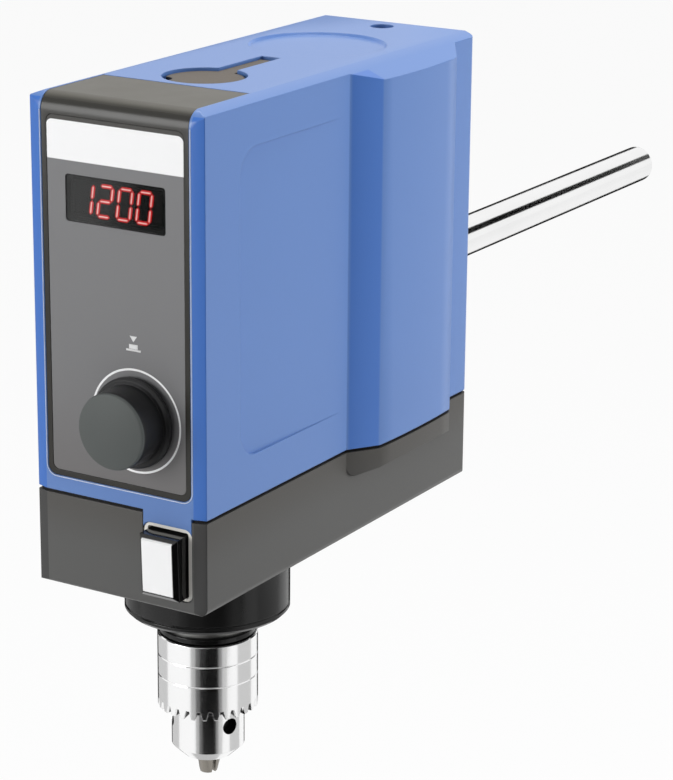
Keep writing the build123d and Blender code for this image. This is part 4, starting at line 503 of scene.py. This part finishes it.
def smoothing():
    """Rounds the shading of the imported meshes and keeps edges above 30 degrees sharp."""
    tree = bpy.data.node_groups.new("smooth_shading", "GeometryNodeTree")
    tree.interface.new_socket("Geometry", in_out="INPUT", socket_type="NodeSocketGeometry")
    angle = tree.interface.new_socket("Sharp angle", in_out="INPUT", socket_type="NodeSocketFloat")
    angle.default_value = radians(30.0)
    tree.interface.new_socket("Geometry", in_out="OUTPUT", socket_type="NodeSocketGeometry")
    source = tree.nodes.new("NodeGroupInput")
    sink = tree.nodes.new("NodeGroupOutput")
    fold = tree.nodes.new("GeometryNodeInputMeshEdgeAngle")
    gentle = tree.nodes.new("FunctionNodeCompare")
    gentle.operation = "LESS_EQUAL"
    edges = tree.nodes.new("GeometryNodeSetShadeSmooth")
    edges.domain = "EDGE"
    faces = tree.nodes.new("GeometryNodeSetShadeSmooth")
    faces.domain = "FACE"
    link = tree.links.new
    link(source.outputs["Geometry"], faces.inputs["Geometry"])
    link(faces.outputs["Geometry"], edges.inputs["Geometry"])
    link(fold.outputs["Unsigned Angle"], gentle.inputs[0])
    link(source.outputs["Sharp angle"], gentle.inputs[1])
    link(gentle.outputs["Result"], edges.inputs["Shade Smooth"])
    link(edges.outputs["Geometry"], sink.inputs["Geometry"])
    return tree


WELD_REACH = 0.002 * MM

smooth_tree = smoothing()
slot_of = {part["node"]: part["material_slot"] for part in frame["record"]["subparts"]}
for name, node in nodes.items():
    node.data.materials.clear()
    node.data.materials.append(finishes[slot_of[name]].material)
    node.modifiers.new("weld", "WELD").merge_threshold = WELD_REACH
    node.modifiers.new("smooth", "NODES").node_group = smooth_tree


# Added pieces


def piece(name, mesh, body, finish):
    """Puts a finished mesh on a body."""
    made = bpy.data.objects.new(name, mesh)
    bpy.context.scene.collection.objects.link(made)
    mesh.materials.append(finish.material)
    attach(made, body)


def from_bmesh(name, shape):
    """Mesh in metres from a bmesh in millimetres."""
    bmesh.ops.recalc_face_normals(shape, faces=shape.faces)
    mesh = bpy.data.meshes.new(name)
    shape.transform(Matrix.Scale(MM, 4))
    shape.to_mesh(mesh)
    shape.free()
    return mesh


def prism(shape, outline, low, high):
    """Closed prism from an outline of (x, z) corners, between two depths in y."""
    front = [shape.verts.new((x, low, z)) for x, z in outline]
    back = [shape.verts.new((x, high, z)) for x, z in outline]
    shape.faces.new(front)
    shape.faces.new(back[::-1])
    for i in range(len(outline)):
        j = (i + 1) % len(outline)
        shape.faces.new((front[i], front[j], back[j], back[i]))


NUMBER = "1200"
DIGIT_HEIGHT, DIGIT_WIDTH, DIGIT_PITCH = 10.6, 5.2, 8.0
DIGIT_SLANT = tan(radians(8))
LAST_DIGIT_X = 11.0
BAR_GAP = 1.75
BARS_OF = {"0": "abcdef", "1": "bc", "2": "abged"}


def bar_outline(length, width):
    """Six-cornered bar of a seven-segment digit, lying along x."""
    half, tip = length / 2, width / 2
    upper = [(-half, 0), (-half + tip, tip), (half - tip, tip)]
    return upper + [(-x, -z) for x, z in upper]


def digit_bars():
    """Place and turn of each bar of a digit, by its usual letter."""
    half, side = DIGIT_HEIGHT / 2, DIGIT_WIDTH / 2
    return {
        "a": (0, half, 0), "g": (0, 0, 0), "d": (0, -half, 0),
        "b": (side, half / 2, 90), "c": (side, -half / 2, 90),
        "f": (-side, half / 2, 90), "e": (-side, -half / 2, 90),
    }


def display_digits(name, width, proud):
    """Lit bars of the slanted number, standing proud of the display's face."""
    shape = bmesh.new()
    places = digit_bars()
    start = LAST_DIGIT_X - DIGIT_PITCH * (len(NUMBER) - 1)
    for index, figure in enumerate(NUMBER):
        for letter in BARS_OF[figure]:
            x, z, turn = places[letter]
            length = (DIGIT_HEIGHT / 2 if turn else DIGIT_WIDTH) - BAR_GAP + width
            turned = Matrix.Rotation(radians(turn), 2)
            outline = []
            for corner in bar_outline(length, width):
                px, pz = turned @ Vector(corner)
                px, pz = px + x, pz + z
                outline.append((start + index * DIGIT_PITCH + px + pz * DIGIT_SLANT, WINDOW_Z + pz))
            prism(shape, outline, DISPLAY_FACE_Y - proud, DISPLAY_FACE_Y - 0.02)
    return from_bmesh(name, shape)


bars = display_digits("display_bars", width=1.5, proud=0.2)
piece("display_bars", bars, "stirrer", glowing("led_red", (1.0, 0.0, 0.05), 2.0))
cores = display_digits("display_cores", width=0.5, proud=0.3)
piece("display_cores", cores, "stirrer", glowing("led_core", (1.0, 0.78, 0.76), 3.2))


def panel_highlight_rim():
    """Pale strip round the dark panel, a painted highlight of the cover's rounded edge, down both sides and
    along its rounded bottom.
    """
    radius, inner, outer, steps = 3.5, 0.42, 0.80, 8
    section = ((inner, 0.0), (inner, -0.10), (inner + 0.1, -0.15), (outer - 0.1, -0.13), (outer, 0.02))
    cx, cz = PANEL_HALF - radius, PANEL_LOW_Z + radius
    path = [(PANEL_HALF, TOP_Z - 6.0, 1, 0)]
    for step in range(steps + 1):
        angle = -radians(90 * step / steps)
        path.append((cx + radius * cos(angle), cz + radius * sin(angle), cos(angle), sin(angle)))
    path += [(-x, z, -nx, nz) for x, z, nx, nz in reversed(path)]
    shape = bmesh.new()
    rows = [
        [shape.verts.new((x + nx * reach, FRONT_Y + depth, z + nz * reach)) for reach, depth in section]
        for x, z, nx, nz in path
    ]
    for first, second in zip(rows, rows[1:]):
        for i in range(len(first)):
            j = (i + 1) % len(first)
            shape.faces.new((first[i], first[j], second[j], second[i]))
    shape.faces.new(rows[0][::-1])
    shape.faces.new(rows[-1])
    return from_bmesh("panel_highlight_rim", shape)


# painted highlight: pale strip standing for the light on the cover's edge round the panel
pale_highlight_rim = moulded("pale_highlight_rim", (0.88, 0.91, 0.98), 0.3)
piece("panel_highlight_rim", panel_highlight_rim(), "stirrer", pale_highlight_rim)


def push_sign():
    """Small print above the knob: a down arrow over a knob seen from the side."""
    shape = bmesh.new()
    arrow = [(-1.5, 3.0), (1.5, 3.0), (0.0, 0.9)]
    cap = [(-1.8, 0.1), (1.8, 0.1), (1.8, -1.5), (-1.8, -1.5)]
    skirt = [(-3.0, -1.6), (3.0, -1.6), (3.0, -2.3), (-3.0, -2.3)]
    for outline in (arrow, cap, skirt):
        prism(shape, [(SIGN_X + x, SIGN_Z + z) for x, z in outline], LABEL_Y - 0.03, LABEL_Y)
    return from_bmesh("push_sign", shape)


print_white = moulded("print_white", (0.90, 0.90, 0.90), 0.5)
piece("push_sign", push_sign(), "stirrer", print_white)


# Floor, cards, world, lamps and camera, in metres


def stage_plane(name, corners, material):
    """Flat sheet of the studio, which isn't part of the object."""
    shape = bmesh.new()
    shape.faces.new([shape.verts.new(c) for c in corners])
    mesh = bpy.data.meshes.new(name)
    shape.to_mesh(mesh)
    shape.free()
    made = bpy.data.objects.new(name, mesh)
    bpy.context.scene.collection.objects.link(made)
    mesh.materials.append(material)
    return made


def level_square(half, height):
    """Corners of a level square round the spindle's line."""
    return [(x * half, y * half, height) for x, y in ((-1, -1), (1, -1), (1, 1), (-1, 1))]


def shader_tree(kind, name):
    """A new material or world, and its node tree."""
    made = kind.new(name)
    made.use_nodes = True
    return made, made.node_tree


def seen_ray(tree):
    """1 for the rays that show a surface: straight, in a gloss or through a pane."""
    path = tree.nodes.new("ShaderNodeLightPath")
    total = path.outputs["Is Camera Ray"]
    for kind in ("Is Glossy Ray", "Is Transmission Ray"):
        high = tree.nodes.new("ShaderNodeMath")
        high.operation = "MAXIMUM"
        tree.links.new(total, high.inputs[0])
        tree.links.new(path.outputs[kind], high.inputs[1])
        total = high.outputs[0]
    return total


def pale_floor():
    """Plain pale floor that shows nearly white and keeps a little of the shadow."""
    white_share = 0.94
    material, tree = shader_tree(bpy.data.materials, "floor_pale")
    shader = tree.nodes["Principled BSDF"]
    shader.inputs["Base Color"].default_value = (0.72, 0.72, 0.72, 1)
    shader.inputs["Roughness"].default_value = 0.9
    glow = tree.nodes.new("ShaderNodeEmission")
    mix = tree.nodes.new("ShaderNodeMixShader")
    part = tree.nodes.new("ShaderNodeMath")
    part.operation = "MULTIPLY"
    part.inputs[1].default_value = white_share
    link = tree.links.new
    link(seen_ray(tree), part.inputs[0])
    link(part.outputs[0], mix.inputs[0])
    link(shader.outputs[0], mix.inputs[1])
    link(glow.outputs[0], mix.inputs[2])
    link(mix.outputs[0], tree.nodes["Material Output"].inputs["Surface"])
    return material


def reflected_card(name, corners, level=0.0):
    """Studio card that only shows in reflections, from black at level 0 to white at 1."""
    material, tree = shader_tree(bpy.data.materials, name)
    shader = tree.nodes["Principled BSDF"]
    shader.inputs["Base Color"].default_value = (0.004, 0.004, 0.004, 1)
    shader.inputs["Roughness"].default_value = 1.0
    shader.inputs["Specular IOR Level"].default_value = 0.0
    shader.inputs["Emission Color"].default_value = (1, 1, 1, 1)
    shader.inputs["Emission Strength"].default_value = level
    card = stage_plane(name, corners, material)
    card.visible_camera = card.visible_diffuse = card.visible_shadow = False
    card.visible_transmission = card.visible_volume_scatter = False


def standing_card(name, first, last, level=0.0, reach=0.55, low=-0.33, high=-0.11):
    """Upright card between two directions round the spindle, in degrees from +x, low down unless told."""
    (ax, ay), (bx, by) = [(reach * cos(radians(a)), reach * sin(radians(a))) for a in (first, last)]
    reflected_card(name, [(ax, ay, low), (bx, by, low), (bx, by, high), (ax, ay, high)], level)


def rod_card(name, turn, reach, width, near, far):
    """Black card along the rod, at a turn about it from straight up, in degrees."""
    out = Vector((sin(radians(turn)), 0, cos(radians(turn))))
    along = Vector((out.z, 0, -out.x)) * width / 2
    middle = Vector((0, 0, ROD_Z * MM)) + out * reach
    sides, depths = (middle + along, middle - along), (Vector((0, near, 0)), Vector((0, far, 0)))
    corners = [sides[i] + depths[j] for i, j in ((0, 0), (1, 0), (1, 1), (0, 1))]
    reflected_card(name, corners)


FLOOR_Z = -0.34
FLOOR_HALF = 6
stage_plane("floor", level_square(FLOOR_HALF, FLOOR_Z), pale_floor())

# The cards that the chuck mirrors: name, first and last direction, level
for name, first, last, level in (
    ("card_front", -74.0, -32.0, 0.0),
    ("card_front_left", -84.0, -74.0, 0.12),
    ("card_far_left", -95.0, -84.0, 0.45),
    ("card_front_right", -32.0, -24.0, 0.25),
    ("card_far_right", -24.0, -12.0, 0.6),
    ("card_side_right", 15.0, 60.0, 0.6),
    ("card_rear", 98.0, 150.0, 0.0),
    ("card_side_left", 150.0, 200.0, 0.6),
):
    standing_card(name, first, last, level)
standing_card("card_bevel_right", -62.0, -5.0, reach=0.7, low=-0.20, high=0.30)
standing_card("card_bevel_left", 120.0, 175.0, reach=0.7, low=-0.20, high=0.30)
rod_card("card_rod_line", turn=45.0, reach=0.5, width=0.30, near=0.75, far=1.6)
rod_card("card_rod_edge", turn=-117.0, reach=0.3, width=0.72, near=0.5, far=1.4)

# Two cards on the floor, for the window's pane and for the undersides
pane_card = ((-1.50, -2.16), (-1.25, -1.75), (-0.95, -1.75), (-1.2, -2.16))
reflected_card("card_window", [(x, y, FLOOR_Z + 0.002) for x, y in pane_card])
reflected_card("card_below", level_square(0.2, FLOOR_Z + 0.005), level=0.5)

# A dim pale world that lights the object and shows white behind it
world, world_tree = shader_tree(bpy.data.worlds, "studio")
bpy.context.scene.world = world
background = world_tree.nodes["Background"]
background.inputs["Color"].default_value = (0.84, 0.85, 0.87, 1)
background.inputs["Strength"].default_value = 0.26
white = world_tree.nodes.new("ShaderNodeBackground")
white.inputs["Color"].default_value = (1, 1, 1, 1)
seen = world_tree.nodes.new("ShaderNodeMixShader")
world_tree.links.new(seen_ray(world_tree), seen.inputs[0])
world_tree.links.new(background.outputs[0], seen.inputs[1])
world_tree.links.new(white.outputs[0], seen.inputs[2])
world_tree.links.new(seen.outputs[0], world_tree.nodes["World Output"].inputs["Surface"])

LIT_POINT = Vector((0, 0.04, 0.15))


def soft_light(name, place, size, power):
    """Area lamp turned towards the middle of the object."""
    lamp = bpy.data.lights.new(name, "AREA")
    lamp.shape = "RECTANGLE"
    lamp.size, lamp.size_y = size
    lamp.energy = power
    made = bpy.data.objects.new(name, lamp)
    made.location = place
    made.rotation_euler = (LIT_POINT - Vector(place)).to_track_quat("-Z", "Y").to_euler()
    bpy.context.scene.collection.objects.link(made)
    return made


key = soft_light("key", (1.35, 0.85, 0.55), (1.0, 0.8), 18)
key.visible_glossy = False
soft_light("top", (-0.1, 0.35, 1.6), (1.2, 1.2), 20)
soft_light("fill", (-0.85, -1.45, 0.5), (0.8, 1.0), 18)

PICTURE_HEIGHT = 780
FOCAL_PIXELS = 2781.724
SENSOR = 36

camera_data = bpy.data.cameras.new("camera")
camera_data.lens = FOCAL_PIXELS * SENSOR / PICTURE_HEIGHT
camera_data.sensor_width = SENSOR
camera_data.clip_start = 0.05
camera = bpy.data.objects.new("camera", camera_data)
right = Vector((0.853247, 0.521435, 0.008696))
up = Vector((-0.161384, 0.248150, 0.955184))
turn = Matrix((right, up, right.cross(up))).transposed().to_4x4()
camera.matrix_world = Matrix.Translation((0.533251, -0.788209, 0.434446)) @ turn
bpy.context.scene.collection.objects.link(camera)
bpy.context.scene.camera = camera
bpy.context.scene.view_settings.view_transform = "Standard"

bpy.context.view_layer.update()
